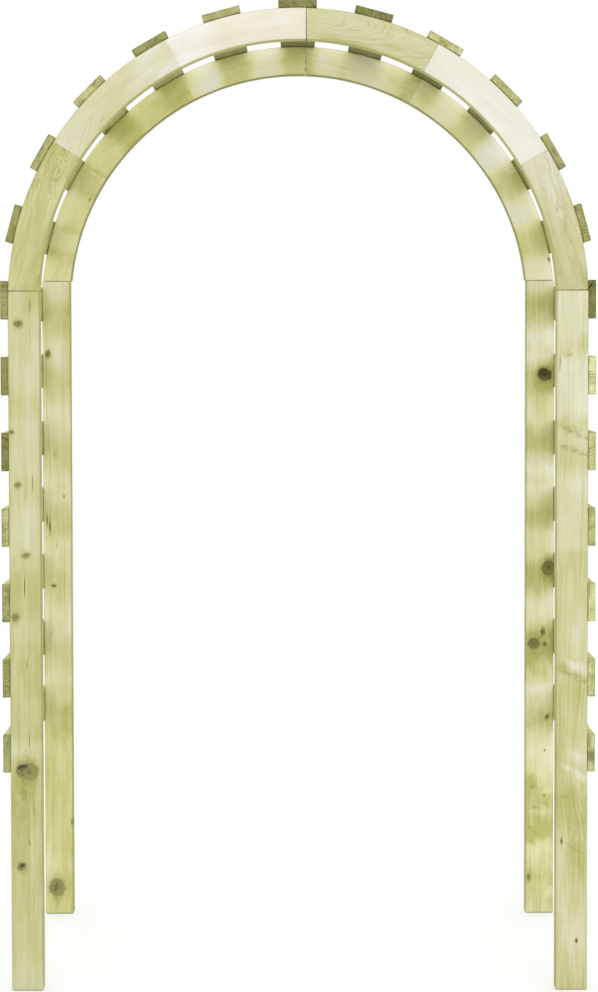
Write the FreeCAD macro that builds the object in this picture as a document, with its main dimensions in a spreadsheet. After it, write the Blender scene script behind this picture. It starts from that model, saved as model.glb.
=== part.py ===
import FreeCAD, Part
import math
import os

import Sketcher
from FreeCAD import Placement, Rotation, Vector

# A round-topped garden arch of pressure-treated pine. Two flat frames, front and back, each have
# two posts and a half-round ring of six segments. Flat slats tie the frames together: they lie on
# the outside, down both legs and over the arch, and each end is held by two countersunk screws.
# Hidden dowels hold the posts to the rings and the segments to each other.
#
# The origin is on the ground in the middle of the four feet, +X to the right, +Y to the back,
# +Z up. The arch centre lies on the Z axis.

# Driving sizes in millimetres and degrees: alias, value, meaning
SIZES = (
    ("arch_radius", 642, "arch centre to the outer edge of the rings, where the slats sit"),
    ("arch_centre_height", 1542, "ground to the arch centre"),
    ("frame_width", 70, "face width of the posts and ring segments"),
    ("frame_thickness", 28, "thickness of the posts and ring segments"),
    ("frame_edge_round", 3, "rounding of the long edges of posts and ring segments"),
    ("foot_chamfer", 4, "chamfer round the foot of a post"),
    ("front_joint_rise", 20, "arch centre up to the tops of the front posts"),
    ("back_joint_rise", 58, "arch centre up to the tops of the back posts"),
    ("right_lower_joint", 31, "angle of a glued joint from the right springing"),
    ("right_upper_joint", 61, "angle of a glued joint from the right springing"),
    ("crown_joint_offset", 19, "middle of the arch to the crown joint, to the right"),
    ("left_upper_joint", 117, "angle of a glued joint from the right springing"),
    ("left_lower_joint", 147, "angle of a glued joint from the right springing"),
    ("slat_length", 500, "length of a slat, over the faces of both frames"),
    ("slat_width", 85, "width of a slat"),
    ("slat_thickness", 16, "thickness of a slat"),
    ("slat_edge_round", 1.5, "rounding of a slat's long edges"),
    ("leg_slat_pitch", 168, "spacing of the slats down a leg"),
    ("dowel_diameter", 10, "diameter of a dowel"),
    ("dowel_length", 80, "length of a dowel, half on each side of its joint"),
    ("dowel_chamfer", 1.5, "chamfer of a dowel's ends"),
    ("dowel_spacing", 20, "spacing of a pair of dowels across the frame's width"),
    ("dowel_cover", 4, "wood between the end of a screw hole and the outer dowel of a pair"),
    ("dowel_clearance", 0.1, "gap all round a dowel in its bore"),
    ("dowel_end_play", 1, "room left for glue beyond each end of a dowel"),
    ("screw_diameter", 4, "shank of a slat screw"),
    ("screw_length", 40, "length of a slat screw, head included"),
    ("screw_head_diameter", 8, "countersunk head of a slat screw"),
    ("screw_point_length", 6, "length of a screw's point"),
    ("screw_spacing", 50, "spacing of a pair of screws across a slat"),
    ("screw_recess", 0.3, "depth of a screw head below the face of the slat"),
    ("screw_clearance", 0.1, "gap all round a screw in its hole"),
    ("screw_end_play", 1, "room beyond a screw's point"),
    ("drive_slot_width", 1, "width of the cross slots in a screw head"),
    ("drive_slot_depth", 1.4, "depth of the cross slots in a screw head"),
)

LEG_SLATS = 7
ARCH_SLATS = 11

doc = FreeCAD.newDocument("garden_arch")
sheet = doc.addObject("Spreadsheet::Sheet", "Sizes")
for row, (alias, size, meaning) in enumerate(SIZES, start=1):
    sheet.set(f"A{row}", alias)
    sheet.set(f"B{row}", str(size))
    sheet.setAlias(f"B{row}", alias)
    sheet.set(f"C{row}", meaning)
doc.recompute()

# Sizes that follow from the driving ones, as expressions of the sheet
INNER_RADIUS = "(Sizes.arch_radius - Sizes.frame_width)"
MIDDLE_RADIUS = "(Sizes.arch_radius - Sizes.frame_width / 2)"
FRAME_MIDDLE = "(Sizes.slat_length - Sizes.frame_thickness) / 2"
SLAT_STEP = f"(180 / {ARCH_SLATS + 1})"
HEAD_RADIUS = "(Sizes.screw_head_diameter / 2)"
SHANK_RADIUS = "(Sizes.screw_diameter / 2)"
SCREW_HOLE = "(Sizes.screw_diameter + 2 * Sizes.screw_clearance)"
COUNTERSINK = "(Sizes.screw_head_diameter + 2 * Sizes.screw_clearance + 2 * Sizes.screw_recess)"
HEAD_FACE = "(Sizes.slat_thickness - Sizes.screw_recess)"
PILOT_DEPTH = "(Sizes.screw_length + Sizes.screw_end_play)"
DOWEL_BORE = "(Sizes.dowel_diameter + 2 * Sizes.dowel_clearance)"
DOWEL_BORE_LENGTH = "(Sizes.dowel_length + 2 * Sizes.dowel_end_play)"
SCREW_REACH = f"({PILOT_DEPTH} - {HEAD_FACE})"
OUTER_DOWEL_RADIUS = f"(Sizes.arch_radius - {SCREW_REACH} - Sizes.dowel_cover - {DOWEL_BORE} / 2)"
DOWEL_RADII = (OUTER_DOWEL_RADIUS, f"({OUTER_DOWEL_RADIUS} - Sizes.dowel_spacing)")

JOINT_RISE = {"front": "Sizes.front_joint_rise", "back": "Sizes.back_joint_rise"}
FRAME_PLACE = {"front": f"-{FRAME_MIDDLE}", "back": FRAME_MIDDLE}
LEG_SIDE = {"left": -1, "right": 1}
POST_JOINTS = {"left_post": -1, "right_post": 1}
GLUED_JOINTS = ("right_lower_joint", "right_upper_joint", "left_upper_joint", "left_lower_joint")

# The segments of a ring, anticlockwise from the right post: place and the joints at its two ends
SEGMENTS = (
    ("right_lower", ("right_post", "right_lower_joint")),
    ("right_middle", ("right_lower_joint", "right_upper_joint")),
    ("right_upper", ("right_upper_joint", "crown")),
    ("left_upper", ("crown", "left_upper_joint")),
    ("left_middle", ("left_upper_joint", "left_lower_joint")),
    ("left_lower", ("left_lower_joint", "left_post")),
)

# Directions, and how far two of them or two heights may differ and still count as one
ALONG_Y = Vector(0, 1, 0)
ALONG_Z = Vector(0, 0, 1)
TOLERANCE = 1e-6


def size_of(expression):
    """The number that an expression of the sheet gives."""
    return float(sheet.evalExpression(expression))


def placed(x, y, z, turn="0"):
    """An expression for a placement turned about the Y axis."""
    return f"placement(vector({x}; {y}; {z}); rotation(vector(0; 1; 0); {turn}))"


def place_at(x, y, z, turn="0"):
    """The placement that such an expression gives."""
    return Placement(Vector(size_of(x), size_of(y), size_of(z)), Rotation(ALONG_Y, size_of(turn)))


def new_sketch(body, name, role):
    """An empty sketch on one of a body's own origin planes."""
    plane = next(item for item in body.Origin.OriginFeatures if item.Role == role)
    sketch = body.newObject("Sketcher::SketchObject", name)
    sketch.AttachmentSupport = [(plane, "")]
    sketch.MapMode = "FlatFace"
    return sketch


def constrain(sketch, kind, where, expression):
    """Adds a dimension to a sketch and ties it to an expression of the sheet."""
    number = sketch.addConstraint(Sketcher.Constraint(kind, *where, size_of(expression)))
    sketch.setExpression(f"Constraints[{number}]", expression)


def polygon(sketch, corners):
    """Draws a closed polygon whose corners are pairs of expressions."""
    points = [Vector(size_of(x), size_of(y), 0) for x, y in corners]
    count = len(points)
    for index, point in enumerate(points):
        sketch.addGeometry(Part.LineSegment(point, points[(index + 1) % count]))
    for index, (x, y) in enumerate(corners):
        sketch.addConstraint(Sketcher.Constraint("Coincident", index, 2, (index + 1) % count, 1))
        constrain(sketch, "DistanceX", (-1, 1, index, 1), x)
        constrain(sketch, "DistanceY", (-1, 1, index, 1), y)


def rectangle(sketch, width, low, high):
    """Draws a rectangle across the vertical axis, from low to high."""
    left = f"-{width} / 2"
    right = f"{width} / 2"
    polygon(sketch, ((left, low), (right, low), (right, high), (left, high)))


def circle(sketch, x, y, diameter):
    """Draws a circle about a point given as expressions."""
    centre = Vector(size_of(x), size_of(y), 0)
    ring = sketch.addGeometry(Part.Circle(centre, ALONG_Z, size_of(diameter) / 2))
    constrain(sketch, "DistanceX", (-1, 1, ring, 3), x)
    constrain(sketch, "DistanceY", (-1, 1, ring, 3), y)
    constrain(sketch, "Diameter", (ring,), diameter)


def pad(body, sketch, length, centred=False):
    """Pads a sketch, to both sides of its plane where centred."""
    feature = body.newObject("PartDesign::Pad", f"{body.Name}_pad")
    feature.Profile = sketch
    feature.setExpression("Length", length)
    if centred:
        feature.SideType = "Symmetric"
    doc.recompute()
    return feature


def dress_edges(body, kind, base, size, wanted):
    """Rounds or chamfers the edges of a feature that the test picks."""
    names = [f"Edge{number}" for number, edge in enumerate(base.Shape.Edges, start=1) if wanted(edge)]
    feature = body.newObject(f"PartDesign::{kind}", f"{body.Name}_{kind.lower()}")
    feature.Base = (base, names)
    feature.setExpression("Radius" if kind == "Fillet" else "Size", size)
    doc.recompute()
    return feature


def runs_along(edge, axis):
    """True where a straight edge lies along an axis."""
    if edge.Curve.TypeId != "Part::GeomLine":
        return False
    return abs(edge.tangentAt(edge.FirstParameter).dot(axis)) > 1 - TOLERANCE


def is_arc(edge):
    """True for a round edge."""
    return edge.Curve.TypeId == "Part::GeomCircle"


def group(name, master, places):
    """A compound of copies of a master solid."""
    feature = doc.addObject("Part::Feature", name)
    copies = []
    for place in places:
        copy = master.Shape.copy()
        copy.Placement = place.multiply(copy.Placement)
        copies.append(copy)
    feature.Shape = Part.makeCompound(copies)
    return feature


def bored(name, blank, bores):
    """A frame piece: its blank less the bores for dowels and screws."""
    cut = doc.addObject("Part::Cut", name)
    cut.Base = blank
    cut.Tool = bores
    return cut


def leg_seat(side, index):
    """Where a leg slat sits: x, z and turn. The first is level with the arch centre."""
    height = f"Sizes.arch_centre_height - {index} * Sizes.leg_slat_pitch"
    return f"{LEG_SIDE[side]} * Sizes.arch_radius", height, f"{90 * LEG_SIDE[side]}"


def arch_seat(number):
    """Where an arch slat sits: x, z and turn. They are counted from the left springing."""
    lean = f"({number} * {SLAT_STEP} - 90)"
    height = f"Sizes.arch_centre_height + Sizes.arch_radius * cos({lean})"
    return f"Sizes.arch_radius * sin({lean})", height, lean


def slat(name, seat):
    """A slat with eased edges and four countersunk screw holes, its seat on its own XY plane."""
    body = doc.addObject("PartDesign::Body", name)
    section = new_sketch(body, f"{name}_section", "XZ_Plane")
    rectangle(section, "Sizes.slat_width", "0", "Sizes.slat_thickness")
    board = pad(body, section, "Sizes.slat_length", centred=True)
    dress_edges(body, "Fillet", board, "Sizes.slat_edge_round", lambda edge: runs_along(edge, ALONG_Y))

    marks = new_sketch(body, f"{name}_marks", "XY_Plane")
    marks.setExpression("AttachmentOffset.Base.z", "Sizes.slat_thickness")
    for frame_place in FRAME_PLACE.values():
        for across in (-1, 1):
            circle(marks, f"{across} * Sizes.screw_spacing / 2", frame_place, SCREW_HOLE)
    hole = body.newObject("PartDesign::Hole", f"{name}_holes")
    hole.Profile = marks
    doc.recompute()
    hole.ThreadType = "None"
    hole.DepthType = "ThroughAll"
    hole.HoleCutType = "Countersink"
    hole.HoleCutCustomValues = True
    hole.HoleCutCountersinkAngle = 90
    hole.setExpression("Diameter", SCREW_HOLE)
    hole.setExpression("HoleCutDiameter", COUNTERSINK)

    x, z, turn = seat
    body.setExpression("Placement", placed(x, "0", z, turn))
    return body


def post_blank(frame, side):
    """A post with rounded long edges and a chamfered foot."""
    body = doc.addObject("PartDesign::Body", f"{frame}_{side}_post_blank")
    section = new_sketch(body, f"{body.Name}_section", "XY_Plane")
    half = "Sizes.frame_thickness / 2"
    rectangle(section, "Sizes.frame_width", f"-{half}", half)
    board = pad(body, section, f"Sizes.arch_centre_height + {JOINT_RISE[frame]}")
    footed = dress_edges(
        body, "Chamfer", board, "Sizes.foot_chamfer", lambda edge: edge.BoundBox.ZMax < TOLERANCE
    )
    dress_edges(body, "Fillet", footed, "Sizes.frame_edge_round", lambda edge: runs_along(edge, ALONG_Z))
    x = f"{LEG_SIDE[side]} * {MIDDLE_RADIUS}"
    body.setExpression("Placement", placed(x, FRAME_PLACE[frame], "0"))
    return body


def joint_point(frame, joint, radius):
    """Where a joint of a ring meets a circle about the arch centre."""
    if joint in POST_JOINTS:
        rise = size_of(JOINT_RISE[frame])
        return Vector(POST_JOINTS[joint] * math.sqrt(radius**2 - rise**2), rise, 0)
    if joint == "crown":
        offset = size_of("Sizes.crown_joint_offset")
        return Vector(offset, math.sqrt(radius**2 - offset**2), 0)
    return Rotation(ALONG_Z, size_of(f"Sizes.{joint}")).multVec(Vector(radius, 0, 0))


def place_joint(sketch, line, frame, joint):
    """Ties a joint's line to the sheet: level on a post, upright at the crown, radial elsewhere."""
    if joint in POST_JOINTS:
        sketch.addConstraint(Sketcher.Constraint("Horizontal", line))
        constrain(sketch, "DistanceY", (-1, 1, line, 1), JOINT_RISE[frame])
    elif joint == "crown":
        sketch.addConstraint(Sketcher.Constraint("Vertical", line))
        constrain(sketch, "DistanceX", (-1, 1, line, 1), "Sizes.crown_joint_offset")
    else:
        sketch.addConstraint(Sketcher.Constraint("PointOnObject", -1, 1, line))
        angle = Sketcher.Constraint("Angle", line, math.radians(size_of(f"Sizes.{joint}")))
        number = sketch.addConstraint(angle)
        sketch.setExpression(f"Constraints[{number}]", f"Sizes.{joint} * 1 deg")


def segment_blank(frame, name, joints):
    """A ring segment between two joints, anticlockwise, with rounded long edges."""
    body = doc.addObject("PartDesign::Body", f"{name}_blank")
    sketch = new_sketch(body, f"{body.Name}_section", "XZ_Plane")
    edges = []
    for radius in (INNER_RADIUS, "Sizes.arch_radius"):
        length = size_of(radius)
        start, finish = (joint_point(frame, joint, length) for joint in joints)
        whole = Part.Circle(Vector(0, 0, 0), ALONG_Z, length)
        span = (math.atan2(start.y, start.x), math.atan2(finish.y, finish.x))
        arc = sketch.addGeometry(Part.ArcOfCircle(whole, *span))
        sketch.addConstraint(Sketcher.Constraint("Coincident", arc, 3, -1, 1))
        constrain(sketch, "Radius", (arc,), radius)
        edges.append((arc, start, finish))
    for number, joint in enumerate(joints, start=1):
        line = sketch.addGeometry(Part.LineSegment(edges[0][number], edges[1][number]))
        for line_end, (arc, *_) in enumerate(edges, start=1):
            sketch.addConstraint(Sketcher.Constraint("Coincident", line, line_end, arc, number))
        place_joint(sketch, line, frame, joint)
    board = pad(body, sketch, "Sizes.frame_thickness", centred=True)
    dress_edges(body, "Fillet", board, "Sizes.frame_edge_round", is_arc)
    body.setExpression("Placement", placed("0", FRAME_PLACE[frame], "Sizes.arch_centre_height"))
    return body


def screw_model():
    """A countersunk screw with a cross drive, its head face on the XY plane and its point down."""
    body = doc.addObject("PartDesign::Body", "screw_model")
    profile = new_sketch(body, "screw_profile", "XZ_Plane")
    polygon(profile, (
        ("0", "0"),
        (HEAD_RADIUS, "0"),
        (SHANK_RADIUS, f"{SHANK_RADIUS} - {HEAD_RADIUS}"),
        (SHANK_RADIUS, "Sizes.screw_point_length - Sizes.screw_length"),
        ("0", "-Sizes.screw_length"),
    ))
    turned = body.newObject("PartDesign::Revolution", "screw_turning")
    turned.Profile = profile
    turned.ReferenceAxis = (profile, ["V_Axis"])
    turned.Angle = 360
    doc.recompute()
    for name, width, reach in (
        ("slot_along", "Sizes.screw_diameter", "Sizes.drive_slot_width / 2"),
        ("slot_across", "Sizes.drive_slot_width", SHANK_RADIUS),
    ):
        outline = new_sketch(body, f"{name}_outline", "XY_Plane")
        rectangle(outline, width, f"-{reach}", reach)
        slot = body.newObject("PartDesign::Pocket", name)
        slot.Profile = outline
        slot.setExpression("Length", "Sizes.drive_slot_depth")
        doc.recompute()
    return body


def dowel_model():
    """A chamfered dowel along the Z axis, with the joint at its middle."""
    body = doc.addObject("PartDesign::Body", "dowel_model")
    section = new_sketch(body, "dowel_section", "XY_Plane")
    circle(section, "0", "0", "Sizes.dowel_diameter")
    rod = pad(body, section, "Sizes.dowel_length", centred=True)
    dress_edges(body, "Chamfer", rod, "Sizes.dowel_chamfer", is_arc)
    return body


def bore_model(name, diameter, length, top):
    """A plain bore down the Z axis from a given height."""
    bore = doc.addObject("Part::Cylinder", name)
    bore.setExpression("Radius", f"{diameter} / 2")
    bore.setExpression("Height", length)
    bore.setExpression("Placement", placed("0", "0", f"{top} - {length}"))
    return bore


def screw_places(seats, frames):
    """The head of each screw in a row of slats, on the given frames."""
    places = []
    for x, z, turn in seats:
        seat = place_at(x, "0", z, turn)
        for frame in frames:
            for across in (-1, 1):
                head = place_at(f"{across} * Sizes.screw_spacing / 2", FRAME_PLACE[frame], HEAD_FACE)
                places.append(seat.multiply(head))
    return places


def post_dowels(frame):
    """The dowels between the posts and a ring, upright and side by side across the width."""
    top = f"Sizes.arch_centre_height + {JOINT_RISE[frame]}"
    return [
        place_at(f"{side} * {radius}", FRAME_PLACE[frame], top)
        for side in LEG_SIDE.values() for radius in DOWEL_RADII
    ]


def segment_dowels(frame):
    """The dowels across the glued joints of a ring, square to each joint."""
    places = []
    for joint in GLUED_JOINTS:
        for radius in DOWEL_RADII:
            x = f"{radius} * cos(Sizes.{joint})"
            z = f"Sizes.arch_centre_height + {radius} * sin(Sizes.{joint})"
            places.append(place_at(x, FRAME_PLACE[frame], z, f"-Sizes.{joint}"))
    return places


def crown_dowels(frame):
    """The dowels across the crown joint of a ring, level and one above the other."""
    heights = (f"Sizes.arch_centre_height + {radius}" for radius in DOWEL_RADII)
    return [place_at("Sizes.crown_joint_offset", FRAME_PLACE[frame], z, "90") for z in heights]


# The fasteners and the bores that take them
screw = screw_model()
dowel = dowel_model()
pilot = bore_model("pilot_model", SCREW_HOLE, PILOT_DEPTH, "0")
dowel_bore = bore_model("dowel_bore_model", DOWEL_BORE, DOWEL_BORE_LENGTH, f"{DOWEL_BORE_LENGTH} / 2")
doc.recompute()

SLAT_SEATS = {
    "left": [leg_seat("left", index) for index in range(LEG_SLATS)],
    "right": [leg_seat("right", index) for index in range(LEG_SLATS)],
    "arch": [arch_seat(number) for number in range(1, ARCH_SLATS + 1)],
}
DOWEL_JOINTS = {"post_dowels": post_dowels, "segment_dowels": segment_dowels, "crown_dowels": crown_dowels}
pieces = []

# The frames. Every bore of a frame is cut from each of its pieces that it reaches.
for frame in FRAME_PLACE:
    dowel_places = [place for joints in DOWEL_JOINTS.values() for place in joints(frame)]
    screw_spots = [place for seats in SLAT_SEATS.values() for place in screw_places(seats, (frame,))]
    bores = doc.addObject("Part::Compound", f"{frame}_bores")
    bores.Links = [
        group(f"{frame}_dowel_bores", dowel_bore, dowel_places),
        group(f"{frame}_pilots", pilot, screw_spots),
    ]
    for side in LEG_SIDE:
        pieces.append(bored(f"{frame}_{side}_post", post_blank(frame, side), bores))
    for part_of_ring, joints in SEGMENTS:
        name = f"{frame}_{part_of_ring}_segment"
        pieces.append(bored(name, segment_blank(frame, name, joints), bores))

# The slats and their screws
for row_name, seats in SLAT_SEATS.items():
    for number, seat in enumerate(seats, start=1):
        pieces.append(slat(f"{row_name}_slat_{number}", seat))
    pieces.append(group(f"{row_name}_slat_screws", screw, screw_places(seats, FRAME_PLACE)))

# The dowels
for name, joints in DOWEL_JOINTS.items():
    pieces.append(group(name, dowel, joints("front") + joints("back")))

doc.recompute()

for item in doc.Objects:
    if "Invalid" in item.State or "Error" in item.State:
        raise RuntimeError(f"{item.Label} did not compute: {item.State}")
for piece in pieces:
    if piece.Shape.isNull() or not piece.Shape.isValid() or not piece.Shape.Solids:
        raise RuntimeError(f"{piece.Label} has no sound solid")

os.makedirs("parts", exist_ok=True)
for piece in pieces:
    piece.Shape.exportStep(f"parts/{piece.Label}.step")
    print(f"{piece.Label}: {len(piece.Shape.Solids)} solids, {piece.Shape.Volume / 1000:.1f} cm3")
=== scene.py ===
"""Looks of a round-topped garden arch in pressure-treated pine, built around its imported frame.

The arch stands on the ground at the origin with its front towards -Y. Lengths are metres and angles radians,
but for the marks on the boards, whose places and sizes are millimetres.
"""
import logging
import math
from dataclasses import dataclass, field, fields, replace
from enum import Enum
from typing import Any, ClassVar, Mapping, Optional, Sequence, Union

import bmesh
import bpy
from mathutils import Matrix, Vector


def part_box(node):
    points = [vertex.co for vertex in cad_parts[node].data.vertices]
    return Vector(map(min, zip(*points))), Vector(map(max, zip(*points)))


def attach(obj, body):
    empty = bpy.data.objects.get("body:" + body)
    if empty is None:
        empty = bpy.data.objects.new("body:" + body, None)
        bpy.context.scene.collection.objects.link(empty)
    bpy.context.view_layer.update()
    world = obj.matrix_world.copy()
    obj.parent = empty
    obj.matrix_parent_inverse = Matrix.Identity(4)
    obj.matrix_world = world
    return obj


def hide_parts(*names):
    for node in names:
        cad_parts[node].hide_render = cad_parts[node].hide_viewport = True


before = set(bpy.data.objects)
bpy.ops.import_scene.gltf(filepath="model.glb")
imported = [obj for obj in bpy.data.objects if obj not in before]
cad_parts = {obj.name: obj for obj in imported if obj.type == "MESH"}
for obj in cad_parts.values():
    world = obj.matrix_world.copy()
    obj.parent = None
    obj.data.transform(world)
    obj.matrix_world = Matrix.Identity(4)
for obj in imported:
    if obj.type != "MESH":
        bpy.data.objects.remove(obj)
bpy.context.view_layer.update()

LOG = logging.getLogger("garden_arch")

Colour = tuple[float, float, float]
Key = Union[str, int]
Values = Mapping[str, Any]
Given = Mapping[str, "Signal"]
MM = 0.001
QUARTER_TURN = math.pi / 2
WHITE = (1.0, 1.0, 1.0)
FINE_NOISE = (3.0, 0.6)     # detail and roughness


# Node trees

class SocketKind(Enum):
    """The kinds of socket that a node group may show."""

    FLOAT = "NodeSocketFloat"
    INTEGER = "NodeSocketInt"
    VECTOR = "NodeSocketVector"
    COLOUR = "NodeSocketColor"
    GEOMETRY = "NodeSocketGeometry"
    MATERIAL = "NodeSocketMaterial"


def sockets(names: str, kind: SocketKind = SocketKind.FLOAT) -> dict[str, SocketKind]:
    """Gives sockets of one kind, from their names with commas between them."""
    return {name: kind for name in names.split(", ")}


class Signal:
    """What leaves a node, such as a number, a vector or a colour. Sums with it add more nodes."""

    def __init__(self, graph: "Graph", socket: bpy.types.NodeSocket) -> None:
        """Keeps the socket and the graph that it belongs to."""
        self.graph = graph
        self.socket = socket

    def apply(self, operation: str, *others: Any) -> "Signal":
        """Adds a Math node, or a Vector Math node to a vector.

        Args:
            operation: What the node does.
            others: Its further operands.

        Returns:
            The result.
        """
        kind = "ShaderNodeVectorMath" if self.socket.type == "VECTOR" else "ShaderNodeMath"
        output = "Value" if operation in ("LENGTH", "DOT_PRODUCT") else 0
        return self.graph.out(kind, dict(enumerate((self, *others))), output, operation=operation)

    def __add__(self, other: Any) -> "Signal":
        """Adds a number or a vector."""
        return self.apply("ADD", other)

    def __sub__(self, other: Any) -> "Signal":
        """Takes a number or a vector away."""
        return self.apply("SUBTRACT", other)

    def __rsub__(self, other: float) -> "Signal":
        """Takes this away from a number."""
        return -self + other

    def __mul__(self, other: Any) -> "Signal":
        """Multiplies by a number or a vector."""
        return self.apply("MULTIPLY", other)

    def __truediv__(self, other: Any) -> "Signal":
        """Divides by a number."""
        return self.apply("DIVIDE", other)

    def __neg__(self) -> "Signal":
        """Turns the sign round."""
        return self * -1.0

    def __abs__(self) -> "Signal":
        """Drops the sign."""
        return self.apply("ABSOLUTE")

    def most(self, other: Any) -> "Signal":
        """Gives the greater of two numbers."""
        return self.apply("MAXIMUM", other)

    def clamped(self) -> "Signal":
        """Keeps a number between 0 and 1."""
        return self.graph.out("ShaderNodeClamp", {0: self})

    def step(self, low: Any, high: Any, to_low: Any = 0.0, to_high: Any = 1.0) -> "Signal":
        """Maps a number by a smooth step.

        Args:
            low: Where the step starts.
            high: Where the step ends.
            to_low: The result at and below the start.
            to_high: The result at and beyond the end.

        Returns:
            The stepped number.
        """
        inputs = {0: self, 1: low, 2: high, 3: to_low, 4: to_high}
        return self.graph.out("ShaderNodeMapRange", inputs, interpolation_type="SMOOTHSTEP")

    def split(self) -> list["Signal"]:
        """Splits a vector into its three numbers."""
        outputs = self.graph.node("ShaderNodeSeparateXYZ", {0: self}).outputs
        return [Signal(self.graph, output) for output in outputs]


class Graph:
    """Adds nodes to one node tree and joins them up."""

    def __init__(self, tree: bpy.types.NodeTree) -> None:
        """Keeps the tree that the nodes go into."""
        self.tree = tree

    def feed(self, socket: bpy.types.NodeSocket, value: Any) -> None:
        """Links an input to a signal or to several, or sets its value.

        Args:
            socket: The input to feed.
            value: A signal, a list of signals, a number, a vector, a colour or a data block.
        """
        if isinstance(value, Signal):
            self.tree.links.new(value.socket, socket)
        elif isinstance(value, list):
            for part in value:
                self.feed(socket, part)
        elif socket.type == "RGBA" and len(value) == 3:
            socket.default_value = (*value, 1.0)
        else:
            socket.default_value = value

    def node(self, kind: str, inputs: Optional[Mapping[Key, Any]] = None, **settings: Any) -> bpy.types.Node:
        """Adds one node.

        Args:
            kind: The node's type name.
            inputs: What feeds its inputs, by name or by number.
            settings: Properties of the node.

        Returns:
            The new node.
        """
        made = self.tree.nodes.new(kind)
        for name, value in settings.items():
            setattr(made, name, value)
        for key, value in (inputs or {}).items():
            self.feed(made.inputs[key], value)
        return made

    def out(
        self, kind: str, inputs: Optional[Mapping[Key, Any]] = None, output: Key = 0, **settings: Any
    ) -> Signal:
        """Adds one node and gives one of its outputs."""
        return Signal(self, self.node(kind, inputs, **settings).outputs[output])

    def join(self, x: Any, y: Any, z: Any) -> Signal:
        """Joins three numbers into a vector."""
        return self.out("ShaderNodeCombineXYZ", {0: x, 1: y, 2: z})

    def mix(self, factor: Any, first: Any, second: Any, mode: str = "MIX") -> Signal:
        """Mixes two colours.

        Args:
            factor: How much of the second colour shows.
            first: The colour at factor 0.
            second: The colour at factor 1.
            mode: The blending mode.

        Returns:
            The mixed colour.
        """
        inputs = {0: factor, 6: first, 7: second}
        return self.out("ShaderNodeMix", inputs, 2, data_type="RGBA", blend_type=mode)

    def tint(self, colour: Any, shade: Signal) -> Signal:
        """Multiplies a colour by a number, or by a factor for each channel."""
        return self.mix(1.0, colour, shade, "MULTIPLY")

    def noise(self, where: Signal, waves: Colour, detail: float = 2.0, rough: float = 0.5) -> Signal:
        """Adds noise stretched along the axes.

        Args:
            where: The coordinates.
            waves: Waves per metre along each axis.
            detail: The octaves of finer noise.
            rough: The strength of the finer noise.

        Returns:
            The noise, from 0 to 1.
        """
        inputs = {"Vector": where * waves, "Scale": 1.0, "Detail": detail, "Roughness": rough}
        return self.out("ShaderNodeTexNoise", inputs)

    def chance(self, seed: Any, output: str = "Value") -> Signal:
        """Gives white noise, which follows from its seed alone."""
        return self.out("ShaderNodeTexWhiteNoise", {"W": seed}, output, noise_dimensions="1D")

    def attribute(self, name: str, output: str = "Fac") -> Signal:
        """Reads a number or a vector that the mesh keeps."""
        return self.out("ShaderNodeAttribute", None, output, attribute_name=name)

    def place(self) -> Signal:
        """Gives the point's place in the object."""
        return self.out("ShaderNodeTexCoord", None, "Object")

    def bump(self, height: Signal, strength: float, distance: float) -> Signal:
        """Turns a height into a normal."""
        inputs = {"Strength": strength, "Distance": distance, "Height": height}
        return self.out("ShaderNodeBump", inputs, "Normal")

    def geo(self, kind: str, inputs: Optional[Mapping[Key, Any]] = None, **settings: Any) -> Signal:
        """Adds a geometry node and gives its first output."""
        return self.out(f"GeometryNode{kind}", inputs, **settings)

    def keep(
        self, geometry: Signal, name: str, value: Signal, data_type: str, domain: str = "POINT"
    ) -> Signal:
        """Keeps a value on a geometry under a name."""
        inputs = {"Geometry": geometry, "Name": name, "Value": value}
        return self.geo("StoreNamedAttribute", inputs, data_type=data_type, domain=domain)

    def lifted(self, geometry: Signal, height: Signal) -> Signal:
        """Moves a geometry up."""
        return self.geo("Transform", {"Geometry": geometry, "Translation": self.join(0.0, 0.0, height)})

    def random(self, low: float, high: float, seed: Signal) -> Signal:
        """Draws a number for each point."""
        return self.out("FunctionNodeRandomValue", {2: low, 3: high, "Seed": seed}, 1, data_type="FLOAT")

    def turned(self, x: Any, y: Any, z: Any) -> Signal:
        """Makes a rotation from three angles."""
        return self.out("FunctionNodeEulerToRotation", {0: self.join(x, y, z)})


class NodeGroup:
    """A node group with named inputs and outputs, built once and used wherever it is wanted."""

    NAME: ClassVar[str]
    FAMILY: ClassVar[str] = "Shader"
    INPUTS: ClassVar[Mapping[str, SocketKind]]
    OUTPUTS: ClassVar[Mapping[str, SocketKind]]

    def tree(self) -> bpy.types.NodeTree:
        """Gives the group's tree, which is built at the first call.

        Returns:
            The node tree.
        """
        found = bpy.data.node_groups.get(self.NAME)
        if found:
            return found
        made = bpy.data.node_groups.new(self.NAME, f"{self.FAMILY}NodeTree")
        for way, shown in (("INPUT", self.INPUTS), ("OUTPUT", self.OUTPUTS)):
            for name, kind in shown.items():
                made.interface.new_socket(name, in_out=way, socket_type=kind.value)
        graph = Graph(made)
        outputs = graph.node("NodeGroupInput").outputs
        given = {name: Signal(graph, outputs[name]) for name in self.INPUTS}
        graph.node("NodeGroupOutput", self.fill(graph, given))
        return made

    def fill(self, graph: Graph, given: Given) -> dict[str, Signal]:
        """Adds the group's nodes.

        Args:
            graph: The group's own tree.
            given: The group's inputs by name.

        Returns:
            What feeds each output.
        """
        raise NotImplementedError

    def place(self, graph: Graph, values: Values) -> dict[str, Signal]:
        """Puts the group into another tree.

        Args:
            graph: The tree that uses the group.
            values: What feeds the group's inputs, which may lie among values for other groups.

        Returns:
            The outputs by name.
        """
        inputs = {name: value for name, value in values.items() if name in self.INPUTS}
        made = graph.node(f"{self.FAMILY}NodeGroup", inputs, node_tree=self.tree())
        return {name: Signal(graph, made.outputs[name]) for name in self.OUTPUTS}


# Shared effects of the wood

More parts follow.
